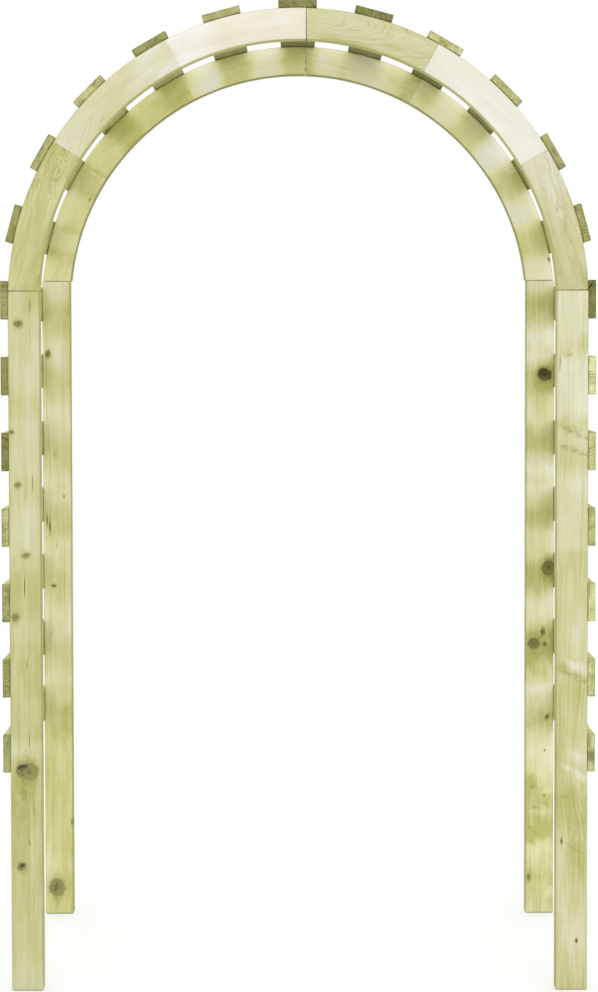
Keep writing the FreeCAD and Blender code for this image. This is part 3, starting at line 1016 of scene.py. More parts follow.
@dataclass(frozen=True)
class SlatPine(PineFinish):
    """The same wood for many slats in one mesh, each with its own grain, tone and knots."""

    sawn_ends: Colour = (0.330, 0.328, 0.118)
    sawn_yellowing: float = 1.5
    knot_size: float = 0.13
    least_tone: float = 0.58
    tone_range: float = 0.5
    tone_seed: float = 1025.0
    odd_slats: tuple[tuple[float, float], ...] = (
        (0.0, 0.2), (1.0, -0.18), (9.0, 0.24), (12.0, -0.15), (13.0, -0.28), (14.0, 0.15), (18.0, -0.45),
        (22.0, 0.25),
    )
    planed_range: tuple[float, float] = (0.85, 1.15)
    crown_slat: float = 12.0
    arch_reach: tuple[float, float] = (5.0, 6.5)
    leg_gain: float = -0.1
    right_leg_gain: float = 0.5
    planed_leg_gain: float = 0.2
    # painted shade on the undersides of the arch slats
    underside_least: float = 0.45
    underside_slat: float = 13.5
    underside_reach: tuple[float, float] = (0.8, 4.5)
    underside_band: tuple[float, float] = (0.3 * MM, 2.0 * MM)
    outline_wide: float = 4.0 * MM
    outline_thick: float = 3.0 * MM
    rim_depth: float = 0.42
    heart_spread: float = 0.2

    def number(self, graph: Graph) -> Signal:
        """Reads each slat's own number from the mesh."""
        return graph.attribute("board")

    def marks(self, grain: Signal, board: Any) -> dict[str, Any]:
        """Strews knots over the slats."""
        return ScatteredKnots().place(grain.graph, {"Grain": grain, "Board": board, "Size": self.knot_size})

    def edge(self, grain: Signal) -> Any:
        """Gives no deeper edge, because each slat has a tone of its own."""
        return 0.0

    def rim(self, grain: Signal, end: Signal) -> Signal:
        """Gives the outline of the sawn ends."""
        _, across, depth = grain.split()
        wide = abs(across).step(self.half_width - self.outline_wide, self.half_width)
        thick = abs(depth - self.half_depth).step(self.half_depth - self.outline_thick, self.half_depth)
        return wide.most(thick) * self.rim_depth * end

    def heart(self, board: Any) -> dict[str, Signal]:
        """Gives each slat another place in the log."""
        places = zip(("Heart Across", "Heart Depth"), board.graph.chance(board, "Color").split())
        return {name: chance * self.heart_spread - self.heart_spread / 2 for name, chance in places}

    def underside(self, grain: Signal, board: Any) -> Signal:
        """Gives the painted shade on the slats' undersides, deepest near the crown."""
        shade = abs(board - self.underside_slat).step(*self.underside_reach, self.underside_least, 1.0)
        return grain.split()[2].step(*self.underside_band, shade, 1.0)

    def colours(self, grain: Signal, board: Any) -> dict[str, Any]:
        """Gives the colours of the wood, lighter on some slats than on others, with painted shade on the arch
        slats' planed faces and undersides.

        Args:
            grain: The slat's own coordinates.
            board: The slat's number.

        Returns:
            The colours by socket name.
        """
        graph = grain.graph
        place = board - self.crown_slat
        tone = abs(place).step(*self.arch_reach, self.least_tone, self.least_tone + self.leg_gain)
        tone = tone + place.step(*self.arch_reach, 0.0, self.right_leg_gain)
        tone = tone + graph.chance(board + self.tone_seed) * self.tone_range
        for number, gain in self.odd_slats:
            tone = tone + board.apply("COMPARE", number, 0.5) * gain
        low, high = self.planed_range
        # the arch slats' planed faces are darker than the legs': partly their own tone, partly painted shade
        planed = abs(place).step(*self.arch_reach, low, low + self.planed_leg_gain)
        planed = (planed + graph.chance(board) * (high - low)) * self.underside(grain, board)
        plain = super().colours(grain, board)
        shaded = {name: graph.tint(plain[name], planed) for name in ("Base", "Pale", "Green")}
        sawn_shade = graph.join(tone, tone, tone.apply("POWER", self.sawn_yellowing))
        return shaded | {"Sawn": graph.tint(self.sawn_ends, sawn_shade)}


@dataclass(frozen=True)
class BeechFinish(Finish):
    """Turned beech, for the dowels inside the joints."""

    name: str = "dowel_beech"
    pale: Colour = (0.62, 0.43, 0.26)
    deep: Colour = (0.45, 0.27, 0.14)
    fibre_waves: Colour = (260.0, 260.0, 40.0)
    fleck_waves: Colour = (700.0, 700.0, 180.0)
    fleck_band: tuple[float, float] = (0.58, 0.7)
    fibre_depth: float = 0.6
    fleck_depth: float = 0.4
    least_rough: float = 0.5
    fibre_rough: float = 0.2
    bump: float = 0.2
    bump_height: float = 0.2 * MM

    def inputs(self, graph: Graph) -> dict[str, Any]:
        """Gives what feeds the Principled BSDF."""
        where = graph.place()
        fibre = graph.noise(where, self.fibre_waves, *FINE_NOISE)
        fleck = graph.noise(where, self.fleck_waves).step(*self.fleck_band)
        depth = fibre * self.fibre_depth + fleck * self.fleck_depth
        return {
            "Base Color": graph.mix(depth, self.pale, self.deep),
            "Roughness": fibre * self.fibre_rough + self.least_rough,
            "Normal": graph.bump(fibre, self.bump, self.bump_height),
        }


@dataclass(frozen=True)
class ScrewFinish(Finish):
    """Yellow-passivated steel, dulled by weather."""

    name: str = "screw_steel"
    bright: Colour = (0.60, 0.52, 0.30)
    dull: Colour = (0.30, 0.27, 0.19)
    cloud_waves: Colour = (350.0, 350.0, 350.0)
    tarnish_band: tuple[float, float] = (0.4, 0.65)
    bright_rough: float = 0.3
    tarnish_rough: float = 0.25
    tarnish_metal: float = -0.25
    bump: float = 0.15
    bump_height: float = 0.1 * MM

    def inputs(self, graph: Graph) -> dict[str, Any]:
        """Gives what feeds the Principled BSDF."""
        cloud = graph.noise(graph.place(), self.cloud_waves, *FINE_NOISE)
        tarnish = cloud.step(*self.tarnish_band)
        return {
            "Base Color": graph.mix(tarnish, self.bright, self.dull),
            "Roughness": tarnish * self.tarnish_rough + self.bright_rough,
            "Metallic": tarnish * self.tarnish_metal + 1.0,
            "Normal": graph.bump(cloud, self.bump, self.bump_height),
        }


def background_rays(graph: Graph) -> Signal:
    """Gives 1 for rays of sight, whether straight, reflected or passed through something clear."""
    path = graph.node("ShaderNodeLightPath").outputs
    names = ("Is Camera Ray", "Is Glossy Ray", "Is Transmission Ray")
    straight, glossy, through = (Signal(graph, path[name]) for name in names)
    return straight.most(glossy.most(through))


@dataclass(frozen=True)
class FloorFinish(Finish):
    """Paint that looks white, and still takes the object's shadow."""

    name: str = "floor_paint"
    paint: Colour = (0.9, 0.9, 0.9)
    bounce: Colour = (0.75, 0.75, 0.74)
    fade: tuple[float, float] = (1.6, 4.5)
    least_glow: float = 0.5

    def surface(self, graph: Graph) -> Signal:
        """Mixes paint and glow for the eye, and gives a dimmer paint to the light."""
        fade = graph.place().apply("LENGTH").step(*self.fade, self.least_glow, 1.0)
        colours = (self.paint, self.bounce)
        paint, dim = (graph.out("ShaderNodeBsdfDiffuse", {"Color": colour}) for colour in colours)
        glow = graph.out("ShaderNodeEmission", {"Color": WHITE, "Strength": 1.0})
        seen = graph.out("ShaderNodeMixShader", {0: fade, 1: paint, 2: glow})
        return graph.out("ShaderNodeMixShader", {0: background_rays(graph), 1: dim, 2: seen})


# Meshes

def rounded_section(
    half_width: float, half_depth: float, radius: float, inset: float
) -> list[tuple[float, float]]:
    """Gives a rectangle with rounded corners.

    Args:
        half_width: Half the size across.
        half_depth: Half the size in depth.
        radius: The corners' radius.
        inset: How far the whole outline lies inside the full size.

    Returns:
        The outline's (across, depth) points, anticlockwise.
    """
    corner_steps = 4
    least_round = 0.3 * MM
    round_in = max(radius - inset, least_round)
    points = []
    for quarter in range(4):
        side = 1 if quarter in (0, 3) else -1
        face = 1 if quarter in (0, 1) else -1
        centre_across = side * (half_width - inset - round_in)
        centre_depth = face * (half_depth - inset - round_in)
        for step in range(corner_steps + 1):
            angle = QUARTER_TURN * (quarter + step / corner_steps)
            across = centre_across + round_in * math.cos(angle)
            points.append((across, centre_depth + round_in * math.sin(angle)))
    return points


def eased_stations(
    length: float, spacing: float, first_ease: float, last_ease: float
) -> list[tuple[float, float]]:
    """Spaces sections along a board, closer where its ends are rounded.

    Args:
        length: The board's length.
        spacing: The greatest distance between two sections.
        first_ease: The rounding's radius at the start.
        last_ease: The rounding's radius at the end.

    Returns:
        The (distance, inset) of each section.
    """
    ease_steps = 3
    turns = [QUARTER_TURN * step / ease_steps for step in range(ease_steps + 1)]
    start = [(first_ease * (1 - math.cos(turn)), first_ease * (1 - math.sin(turn))) for turn in turns]
    stop = [(length - last_ease * (1 - math.cos(turn)), last_ease * (1 - math.sin(turn))) for turn in turns]
    straight = length - first_ease - last_ease
    count = max(1, math.ceil(straight / spacing))
    middle = [(first_ease + straight * step / count, 0.0) for step in range(1, count)]
    return start + middle + stop[::-1]


def loft(mesh: bmesh.types.BMesh, sections: Sequence[Sequence[Vector]]) -> None:
    """Skins a row of closed outlines, closes both ends and turns the faces outwards.

    Args:
        mesh: The mesh that the skin is added to.
        sections: The outlines, all with the same number of points.
    """
    rows = [[mesh.verts.new(point) for point in section] for section in sections]
    size = len(rows[0])
    for low, high in zip(rows, rows[1:]):
        for index in range(size):
            following = (index + 1) % size
            mesh.faces.new((low[index], low[following], high[following], high[index]))
    mesh.faces.new(rows[0][::-1])
    mesh.faces.new(rows[-1])
    bmesh.ops.recalc_face_normals(mesh, faces=mesh.faces)


def add_piece(name: str, mesh: bpy.types.Mesh) -> bpy.types.Object:
    """Puts a mesh into the scene as an object at the origin."""
    piece = bpy.data.objects.new(name, mesh)
    bpy.context.scene.collection.objects.link(piece)
    return piece


def add_lofts(name: str, lofts: Sequence[Sequence[Sequence[Vector]]]) -> bpy.types.Object:
    """Skins several rows of outlines into one new object.

    Args:
        name: The object's name.
        lofts: The rows of outlines.

    Returns:
        The object.
    """
    body = bmesh.new()
    for sections in lofts:
        loft(body, sections)
    mesh = bpy.data.meshes.new(name)
    body.to_mesh(mesh)
    body.free()
    return add_piece(name, mesh)


def smooth_faces(mesh: bpy.types.Mesh, sharp_angle: float = math.radians(40)) -> None:
    """Shades a mesh smooth, but for its sharp edges."""
    mesh.polygons.foreach_set("use_smooth", [True] * len(mesh.polygons))
    mesh.set_sharp_from_angle(angle=sharp_angle)


def finished_mesh(piece: bpy.types.Object, name: str) -> bpy.types.Mesh:
    """Turns an object with modifiers into a plain mesh.

    Args:
        piece: The object, whose modifiers are then removed.
        name: The new mesh's name.

    Returns:
        The plain mesh.
    """
    graph = bpy.context.evaluated_depsgraph_get()
    mesh = bpy.data.meshes.new_from_object(piece.evaluated_get(graph))
    mesh.name = name
    piece.modifiers.clear()
    return mesh


# Posts and the arched ring

@dataclass(frozen=True)
class Gape:
    """How far a joint stands open at the frame's inner and outer edge."""

    inner: float
    outer: float
    darkest: ClassVar[float] = 0.8 * MM

    def at(self, share: float) -> float:
        """Gives the opening at a share of the way from the inner to the outer edge."""
        return self.inner + (self.outer - self.inner) * share

    def shade(self, share: float) -> float:
        """Gives how dark the painted shade at the joint's arrises is there, which follows the opening."""
        return min(self.at(share) / self.darkest, 1.0)


@dataclass
class Board:
    """One piece of solid pine that stands for one node of the frame."""

    name: str
    node: str
    slot: str
    finish: PineFinish
    edge_round: float = 3.0 * MM
    wear: float = 0.16
    wear_waves: float = 21.0
    wear_start: float = 0.0
    joint_ease: float = 1.0 * MM
    section_spacing: float = 0.06
    half_width: float = field(init=False)
    half_depth: float = field(init=False)
    length: float = field(init=False)
    eases: tuple[float, float] = field(init=False)
    least_end_turn: ClassVar[float] = 0.8

    def place(self, along: float, across: float, depth: float) -> Vector:
        """Gives the point in the arch's frame for a point in the board's own coordinates."""
        raise NotImplementedError

    def grain(self, point: Vector) -> Vector:
        """Gives the board's own coordinates for a point in the arch's frame."""
        raise NotImplementedError

    def skin(self, along: float, across: float, depth: float) -> Vector:
        """Gives the point of the board's skin at a distance from its first end."""
        raise NotImplementedError

    def joint_shade(self, point: Vector) -> float:
        """Gives the painted shade on a face that belongs to the eased arris of a joint, and otherwise 0."""
        raise NotImplementedError

    def sections(self) -> list[list[Vector]]:
        """Gives the outlines that the board is skinned over, their corners worn unevenly."""
        outlines = []
        for along, inset in eased_stations(self.length, self.section_spacing, *self.eases):
            wavering = math.sin(self.wear_waves * (along + self.wear_start) + self.finish.board)
            radius = self.edge_round * (1 + self.wear * wavering)
            section = rounded_section(self.half_width, self.half_depth, radius, inset)
            outlines.append([self.skin(along, across, depth) for across, depth in section])
        return outlines

    def build(self) -> bpy.types.Object:
        """Builds the board's mesh, cuts its cracks and dresses it.

        Returns:
            The finished piece.
        """
        piece = add_lofts(self.name, [self.sections()])
        if self.finish.look.checks:
            piece.data = self.cut_checks(piece)
        self.mark_grain(piece.data)
        smooth_faces(piece.data)
        piece.data.materials.append(self.finish.make())
        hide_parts(self.node)
        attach(piece, "root")
        return piece

    def cut_checks(self, piece: bpy.types.Object) -> bpy.types.Mesh:
        """Cuts the drying cracks out of the board.

        Args:
            piece: The uncut board.

        Returns:
            The cut mesh.
        """
        tool = add_lofts("wedges", [check.wedge(self) for check in self.finish.look.checks])
        cut = piece.modifiers.new("checks", "BOOLEAN")
        cut.operation = "DIFFERENCE"
        cut.solver = "EXACT"
        cut.object = tool
        mesh = finished_mesh(piece, self.name)
        bpy.data.objects.remove(tool)
        return mesh

    def mark_grain(self, mesh: bpy.types.Mesh) -> None:
        """Stores each point's place in the board, which faces are sawn ends, and the painted shade on the
        walls of a crack and at the joints.

        Args:
            mesh: The board's mesh.
        """
        mesh.attributes.new("grain", "FLOAT_VECTOR", "POINT")
        mesh.attributes.new("end", "FLOAT", "FACE")
        mesh.attributes.new("cut", "FLOAT", "FACE")
        grain, end, cut = (mesh.attributes[name] for name in ("grain", "end", "cut"))
        for vertex, item in zip(mesh.vertices, grain.data):
            item.vector = self.grain(vertex.co)
        for face, sawn, dark in zip(mesh.polygons, end.data, cut.data):
            middle = self.grain(face.center)
            ahead = self.grain(face.center + face.normal * MM) - middle
            sawn.value = 1.0 if abs(ahead.x) > self.least_end_turn * MM else 0.0
            cracked = any(check.holds(middle, self) for check in self.finish.look.checks)
            # painted shade: darkest on the walls of a crack, and at the joints' arrises as their opening
            # gives
            dark.value = 1.0 if cracked else self.joint_shade(face.center)


@dataclass
class Post(Board):
    """An upright, with its foot rounded and its top butted against the ring."""

    gape: Gape = Gape(0.1 * MM, 0.6 * MM)
    foot_ease: float = 4.0 * MM

    def __post_init__(self) -> None:
        """Takes the post's place from its node."""
        low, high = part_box(self.node)
        self.centre = (low + high) / 2
        self.length = high.z - low.z
        self.half_width = (high.x - low.x) / 2
        self.half_depth = (high.y - low.y) / 2
        self.eases = (self.foot_ease, self.joint_ease)

    def place(self, along: float, across: float, depth: float) -> Vector:
        """Gives the point in the arch's frame: along is the height above the ground."""
        return Vector((self.centre.x + across, self.centre.y + depth, along))

    def grain(self, point: Vector) -> Vector:
        """Gives height, offset across and offset in depth."""
        return Vector((point.z, point.x - self.centre.x, point.y - self.centre.y))

    def outward(self, across: float) -> float:
        """Gives the share of the way from the post's inner edge to its outer one."""
        return 0.5 + math.copysign(across, across * self.centre.x) / (2 * self.half_width)

    def joint_shade(self, point: Vector) -> float:
        """Paints shade on the arris at the post's top."""
        if point.z < self.length - self.joint_ease - self.gape.at(0.5):
            return 0.0
        return self.gape.shade(self.outward(point.x - self.centre.x))

    def skin(self, along: float, across: float, depth: float) -> Vector:
        """Gives the point of the skin: the joint is sawn a little out of square."""
        gape = self.gape.at(self.outward(across))
        return self.place(along - gape * along / self.length, across, depth)


class Joint(Enum):
    """The plane that a ring segment is sawn on at one end."""

    RADIAL = "radial"
    LEVEL = "level"
    UPRIGHT = "upright"


@dataclass(frozen=True)
class SegmentEnd:
    """One end of a ring segment: how it is sawn, where, how far it gapes and how its edges are eased."""

    joint: Joint
    at: float
    gape: Gape
    ease: float

    def angle(self, radius: float, leans_left: bool) -> float:
        """Gives the ring angle at which a circle meets the end's plane.

        Args:
            radius: The circle's radius.
            leans_left: Whether the segment lies left of the crown.

        Returns:
            The angle from +X.
        """
        if self.joint is Joint.RADIAL:
            return self.at
        if self.joint is Joint.UPRIGHT:
            return math.acos(self.at / radius)
        rise = math.asin(self.at / radius)
        return math.pi - rise if leans_left else rise


@dataclass
class Ring:
    """The circle that the arch follows, measured on the frame."""

    centre_height: float = field(init=False)
    outer: float = field(init=False)
    inner: float = field(init=False)
    middle: float = field(init=False)

    def __post_init__(self) -> None:
        """Takes the centre and the radii from the nodes that touch the circle."""
        springing_low, springing_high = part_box("right_slat_1")
        post_low, post_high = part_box("front_right_post")
        self.centre_height = (springing_low.z + springing_high.z) / 2
        self.outer = post_high.x
        self.inner = post_low.x
        self.middle = (self.outer + self.inner) / 2

    def rise_angle(self, height: float, radius: float) -> float:
        """Gives the angle at which a circle reaches a height."""
        return math.asin((height - self.centre_height) / radius)


@dataclass
class RingSegment(Board):
    """One sawn segment of the ring, its faces following two circles."""

    ring: Optional[Ring] = None
    post_gape: Gape = Gape(0.1 * MM, 0.5 * MM)
    crown_gape: Gape = Gape(0.6 * MM, 0.1 * MM)
    glued: Gape = Gape(0.03 * MM, 0.03 * MM)
    glue_ease: float = 0.35 * MM
    section_spacing: float = 0.02

    def __post_init__(self) -> None:
        """Takes the segment's ends from its node."""
        low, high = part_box(self.node)
        ring = self.ring
        self.leans_left = "_left_" in self.node
        self.half_width = (ring.outer - ring.inner) / 2
        self.half_depth = (high.y - low.y) / 2
        self.mid_depth = (high.y + low.y) / 2
        if "_lower_" in self.node:
            start = SegmentEnd(Joint.LEVEL, low.z - ring.centre_height, self.post_gape, self.joint_ease)
        else:
            start = self.glued_end(low.z, ring.inner)
        if "_upper_" in self.node:
            crown = high.x if self.leans_left else low.x
            stop = SegmentEnd(Joint.UPRIGHT, crown, self.crown_gape, self.joint_ease)
        else:
            stop = self.glued_end(high.z, ring.outer)
        self.ends = (start, stop)
        self.eases = (start.ease, stop.ease)
        angles = [end.angle(ring.middle, self.leans_left) for end in self.ends]
        mid_angle = sum(angles) / 2
        self.wear_start = mid_angle
        self.length = abs(angles[1] - angles[0]) * ring.middle
        self.along_axis = Vector((-math.sin(mid_angle), 0, math.cos(mid_angle)))
        self.across_axis = Vector((math.cos(mid_angle), 0, math.sin(mid_angle)))
        self.origin = self.at_ring(mid_angle, ring.middle)

    def glued_end(self, height: float, radius: float) -> SegmentEnd:
        """Gives the end whose plane meets a circle at a height."""
        angle = self.ring.rise_angle(height, radius)
        turned = math.pi - angle if self.leans_left else angle
        return SegmentEnd(Joint.RADIAL, turned, self.glued, self.glue_ease)

    def at_ring(self, angle: float, radius: float) -> Vector:
        """Gives the point on the ring at an angle and a radius."""
        height = self.ring.centre_height + radius * math.sin(angle)
        return Vector((radius * math.cos(angle), self.mid_depth, height))

    def place(self, along: float, across: float, depth: float) -> Vector:
        """Gives the point in the arch's frame for the straight board's coordinates."""
        flat = self.origin + self.along_axis * along + self.across_axis * across
        return flat + Vector((0, depth, 0))

    def grain(self, point: Vector) -> Vector:
        """Gives the coordinates of the straight board that the segment was sawn from."""
        away = point - self.origin
        return Vector((away.dot(self.along_axis), away.dot(self.across_axis), away.y))

    def outward(self, radius: float) -> float:
        """Gives the share of the way from the ring's inner edge to its outer one."""
        return (radius - self.ring.inner) / (2 * self.half_width)

    def joint_shade(self, point: Vector) -> float:
        """Paints shade on the arrises at the segment's two ends."""
        rise = point.z - self.ring.centre_height
        radius = math.hypot(point.x, rise)
        angle = math.atan2(rise, point.x)
        for end in self.ends:
            away = abs(angle - end.angle(radius, self.leans_left)) * radius
            if away < end.ease + end.gape.at(0.5):
                return end.gape.shade(self.outward(radius))
        return 0.0

    def skin(self, along: float, across: float, depth: float) -> Vector:
        """Gives the point of the skin, between where its own circle meets the two ends."""
        radius = self.ring.middle + across
        onward = -1.0 if self.leans_left else 1.0
        angles = []
        for end, inward in zip(self.ends, (onward, -onward)):
            opening = inward * end.gape.at(self.outward(radius)) / radius
            angles.append(end.angle(radius, self.leans_left) + opening)
        start, stop = angles
        return self.at_ring(start + (stop - start) * along / self.length, radius) + Vector((0, depth, 0))


# Slats and screws

class SlatSeats(NodeGroup):
    """The places of the slats: evenly round the half circle, then down both legs."""

    NAME = "slat_seats"
    FAMILY = "Geometry"
    INPUTS = (
        sockets("Arch Radius, Centre Height, Leg Pitch, Slide")
        | sockets("Slats, Quarter Slats, Seed", SocketKind.INTEGER) | sockets("Slat", SocketKind.GEOMETRY)
    )
    OUTPUTS = sockets("Geometry", SocketKind.GEOMETRY)

    def fill(self, graph: Graph, given: Given) -> dict[str, Signal]:
        """Adds the nodes."""
        index = graph.geo("InputIndex")
        quarter, radius = given["Quarter Slats"], given["Arch Radius"]
        step = index - (given["Slats"] * 0.5 - 0.5)
        lean = step.most(-quarter).apply("MINIMUM", quarter) / quarter * QUARTER_TURN
        drop = (abs(step) - quarter).most(0.0) * given["Leg Pitch"]
        slide = graph.random(-1.0, 1.0, given["Seed"]) * given["Slide"]
        rise = lean.apply("COSINE") * radius + given["Centre Height"] - drop
        position = graph.join(lean.apply("SINE") * radius, slide, rise)
        points = graph.geo("Points", {"Count": given["Slats"], "Position": position})
        placed = graph.geo("InstanceOnPoints", {
            "Points": graph.keep(points, "board", index, "FLOAT"), "Instance": given["Slat"],
            "Rotation": graph.turned(0.0, lean, 0.0),
        })
        return {"Geometry": graph.geo("RealizeInstances", {0: placed})}


class SlatPart(NodeGroup):
    """Something that each slat has, repeated over the seats of all slats."""

    FAMILY = "Geometry"
    INPUTS = (
        {name: kind for name, kind in SlatSeats.INPUTS.items() if name != "Slat"}
        | sockets("Thickness, Screw Spacing, Screw Reach, Head Radius, Head Depth")
        | sockets("Material", SocketKind.MATERIAL)
    )
    OUTPUTS = SlatSeats.OUTPUTS

    def fill(self, graph: Graph, given: Given) -> dict[str, Signal]:
        """Adds the nodes."""
        run = SlatSeats().place(graph, {**given, "Slat": self.one(graph, given)})["Geometry"]
        return {"Geometry": graph.geo("SetMaterial", {"Geometry": run, "Material": given["Material"]})}

    def one(self, graph: Graph, given: Given) -> Signal:
        """Makes what one slat has, the slat lying level with its underside at height 0.

        Args:
            graph: The tree.
            given: The tree's inputs.

        Returns:
            The geometry.
        """
        raise NotImplementedError

    def at_screws(self, given: Given, thing: Signal, height: Signal, turn: Values) -> Signal:
        """Puts a thing at the slat's four screws.

        Args:
            given: The tree's inputs.
            thing: What is put there.
            height: The height of its origin.
            turn: The rotation's socket and what feeds it, or nothing.

        Returns:
            The four things.
        """
        graph = thing.graph
        sizes = {"Size X": given["Screw Spacing"], "Size Y": given["Screw Reach"]}
        corners = graph.geo("MeshGrid", {**sizes, "Vertices X": 2, "Vertices Y": 2})
        places = {"Points": graph.lifted(corners, height), "Instance": thing}
        return graph.geo("RealizeInstances", {0: graph.geo("InstanceOnPoints", {**places, **turn})})


class SlatBoards(SlatPart):
    """The slats: a rounded section swept along its length, countersunk for four screws."""

    NAME = "slat_boards"
    INPUTS = SlatPart.INPUTS | sockets("Length, Width, Edge Round")
    SINK_SIDES, PATH_POINTS, EDGE_STEPS = 14, 9, 3
    SINK_TIP, SINK_MARGIN, SINK_OVERSHOOT = 1.5 * MM, 0.6 * MM, 1.0 * MM
    END_TURN = 0.8

    def one(self, graph: Graph, given: Given) -> Signal:
        """Makes one slat and marks its grain and its sawn ends."""
        cone = graph.geo("MeshCone", {
            "Vertices": self.SINK_SIDES, "Radius Bottom": self.SINK_TIP,
            "Radius Top": given["Head Radius"] + self.SINK_MARGIN,
            "Depth": given["Head Depth"] + self.SINK_OVERSHOOT,
        })
        sinks = self.at_screws(given, cone, given["Thickness"] - given["Head Depth"], {})
        meshes = {"Mesh 1": self.swept(graph, given), "Mesh 2": sinks}
        cut = graph.geo("MeshBoolean", meshes, operation="DIFFERENCE", solver="EXACT")
        across, along, depth = graph.geo("InputPosition").split()
        grained = graph.keep(cut, "grain", graph.join(along, across, depth), "FLOAT_VECTOR")
        ahead = abs(graph.geo("InputNormal").split()[1])
        return graph.keep(grained, "end", ahead.apply("GREATER_THAN", self.END_TURN), "FLOAT", "FACE")

    def swept(self, graph: Graph, given: Given) -> Signal:
        """Sweeps the slat's section along its length.

        Args:
            graph: The tree.
            given: The tree's inputs.

        Returns:
            The uncut slat.
        """
        half = given["Length"] * 0.5
        ends = {"Start": graph.join(0.0, -half, 0.0), "End": graph.join(0.0, half, 0.0)}
        line = graph.geo("CurvePrimitiveLine", ends)
        path = graph.geo("ResampleCurve", {"Curve": line, "Count": self.PATH_POINTS})
        sizes = {"Width": given["Width"], "Height": given["Thickness"]}
        outline = graph.geo("CurvePrimitiveQuadrilateral", sizes)
        rounding = {"Count": self.EDGE_STEPS, "Radius": given["Edge Round"], "Limit Radius": True}
        rounded = graph.geo("FilletCurve", {"Curve": outline, **rounding}, mode="POLY")
        swept = graph.geo("CurveToMesh", {"Curve": path, "Profile Curve": rounded, "Fill Caps": True})
        return graph.lifted(swept, given["Thickness"] * 0.5)


class SlatScrews(SlatPart):
    """The screws of all slats: a countersunk head with a cross recess on a plain shank."""

    NAME = "slat_screws"
    INPUTS = SlatPart.INPUTS | sockets("Recess, Shank Radius, Screw Length")
    HEAD_SIDES, SHANK_SIDES = 12, 8
    TIP_RADIUS = 0.5 * MM
    SLOT_SIZES = ((5.0 * MM, 1.0 * MM, 2.6 * MM), (1.0 * MM, 5.0 * MM, 2.6 * MM))

    def one(self, graph: Graph, given: Given) -> Signal:
        """Puts a screw at each corner, each turned at random."""
        spin = graph.turned(0.0, 0.0, graph.random(0.0, math.pi, given["Seed"]))
        top = given["Thickness"] - given["Recess"]
        return self.at_screws(given, self.screw(graph, given), top, {"Rotation": spin})

    def screw(self, graph: Graph, given: Given) -> Signal:
        """Makes one screw with the top of its head at height 0.

        Args:
            graph: The tree.
            given: The tree's inputs.

        Returns:
            The screw.
        """
        names = ("Shank Radius", "Head Radius", "Head Depth", "Screw Length")
        shank_radius, head_radius, head_depth, length = (given[name] for name in names)
        cone = graph.geo("MeshCone", {
            "Vertices": self.HEAD_SIDES, "Radius Bottom": shank_radius, "Radius Top": head_radius,
            "Depth": head_depth,
        })
        slots = [graph.geo("MeshCube", {"Size": size}) for size in self.SLOT_SIZES]
        meshes = {"Mesh 1": graph.lifted(cone, -head_depth), "Mesh 2": slots}
        head = graph.geo("MeshBoolean", meshes, operation="DIFFERENCE", solver="EXACT")
        shank = graph.geo("MeshCone", {
            "Vertices": self.SHANK_SIDES, "Radius Bottom": self.TIP_RADIUS, "Radius Top": shank_radius,
            "Depth": length - head_depth,
        })
        return graph.geo("JoinGeometry", {0: [graph.lifted(shank, -length), head]})


@dataclass
class SlatRun:
    """All slats and their screws, from the foot of one leg over the crown to the other foot."""

    ring: Ring
    leg_slats: int = 7
    arch_slats: int = 11
    edge_round: float = 1.6 * MM
    slide: float = 0.8 * MM
    screw_spacing: float = 50.0 * MM
    head_radius: float = 4.0 * MM
    head_depth: float = 2.3 * MM
    recess: float = 0.3 * MM
    shank_radius: float = 2.0 * MM
    screw_length: float = 40.0 * MM
    seed: int = 7
    length: float = field(init=False)
    width: float = field(init=False)
    thickness: float = field(init=False)
    leg_pitch: float = field(init=False)
    screw_reach: float = field(init=False)

    def __post_init__(self) -> None:
        """Takes the slats' sizes and pitch from their nodes."""
        low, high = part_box("right_slat_1")
        next_low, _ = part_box("right_slat_2")
        frame_low, frame_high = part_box("front_right_post")
        self.length = high.y - low.y
        self.width = high.z - low.z
        self.thickness = high.x - low.x
        self.leg_pitch = low.z - next_low.z
        self.screw_reach = self.length - (frame_high.y - frame_low.y)

    def tree_inputs(self) -> dict[str, Any]:
        """Gives the inputs of both trees, but for their materials."""
        return socket_values(self) | {
            "Arch Radius": self.ring.outer, "Centre Height": self.ring.centre_height,
            "Slats": 2 * self.leg_slats + self.arch_slats, "Quarter Slats": (self.arch_slats + 1) // 2,
        }

    def run_tree(self, group: NodeGroup, name: str, finish: Finish) -> bpy.types.Object:
        """Evaluates a geometry tree and keeps its result as a plain mesh.

        Args:
            group: The tree.
            name: The piece's name.
            finish: The piece's finish.

        Returns:
            The piece.
        """
        inputs = self.tree_inputs() | {"Material": finish.make()}
        piece = add_piece(name, bpy.data.meshes.new(name))
        modifier = piece.modifiers.new(group.NAME, "NODES")
        modifier.node_group = group.tree()
        for item in modifier.node_group.interface.items_tree:
            if item.in_out == "INPUT":
                modifier[item.identifier] = inputs[item.name]
        piece.data = finished_mesh(piece, name)
        smooth_faces(piece.data)
        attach(piece, "root")
        return piece

    def build(self) -> list[bpy.types.Object]:
        """Builds the slats and their screws.

        Returns:
            The two pieces.
        """
        look = Look((0.48, 0.475, 0.205), Figure.LAYERED)
        pine = SlatPine("pine_slats", look, 0.0, half_width=self.width / 2, half_depth=self.thickness / 2)
        boards = self.run_tree(SlatBoards(), "slats", pine)
        screws = self.run_tree(SlatScrews(), "slat_screws", ScrewFinish())
        numbers = range(1, self.leg_slats + 1)
        sides = [f"{side}_slat_{number}" for side in ("left", "right") for number in numbers]
        crown = [f"arch_slat_{number}" for number in range(1, self.arch_slats + 1)]
        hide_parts(*sides, *crown)
        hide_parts("left_slat_screws", "right_slat_screws", "arch_slat_screws")
        return [boards, screws]


# Studio

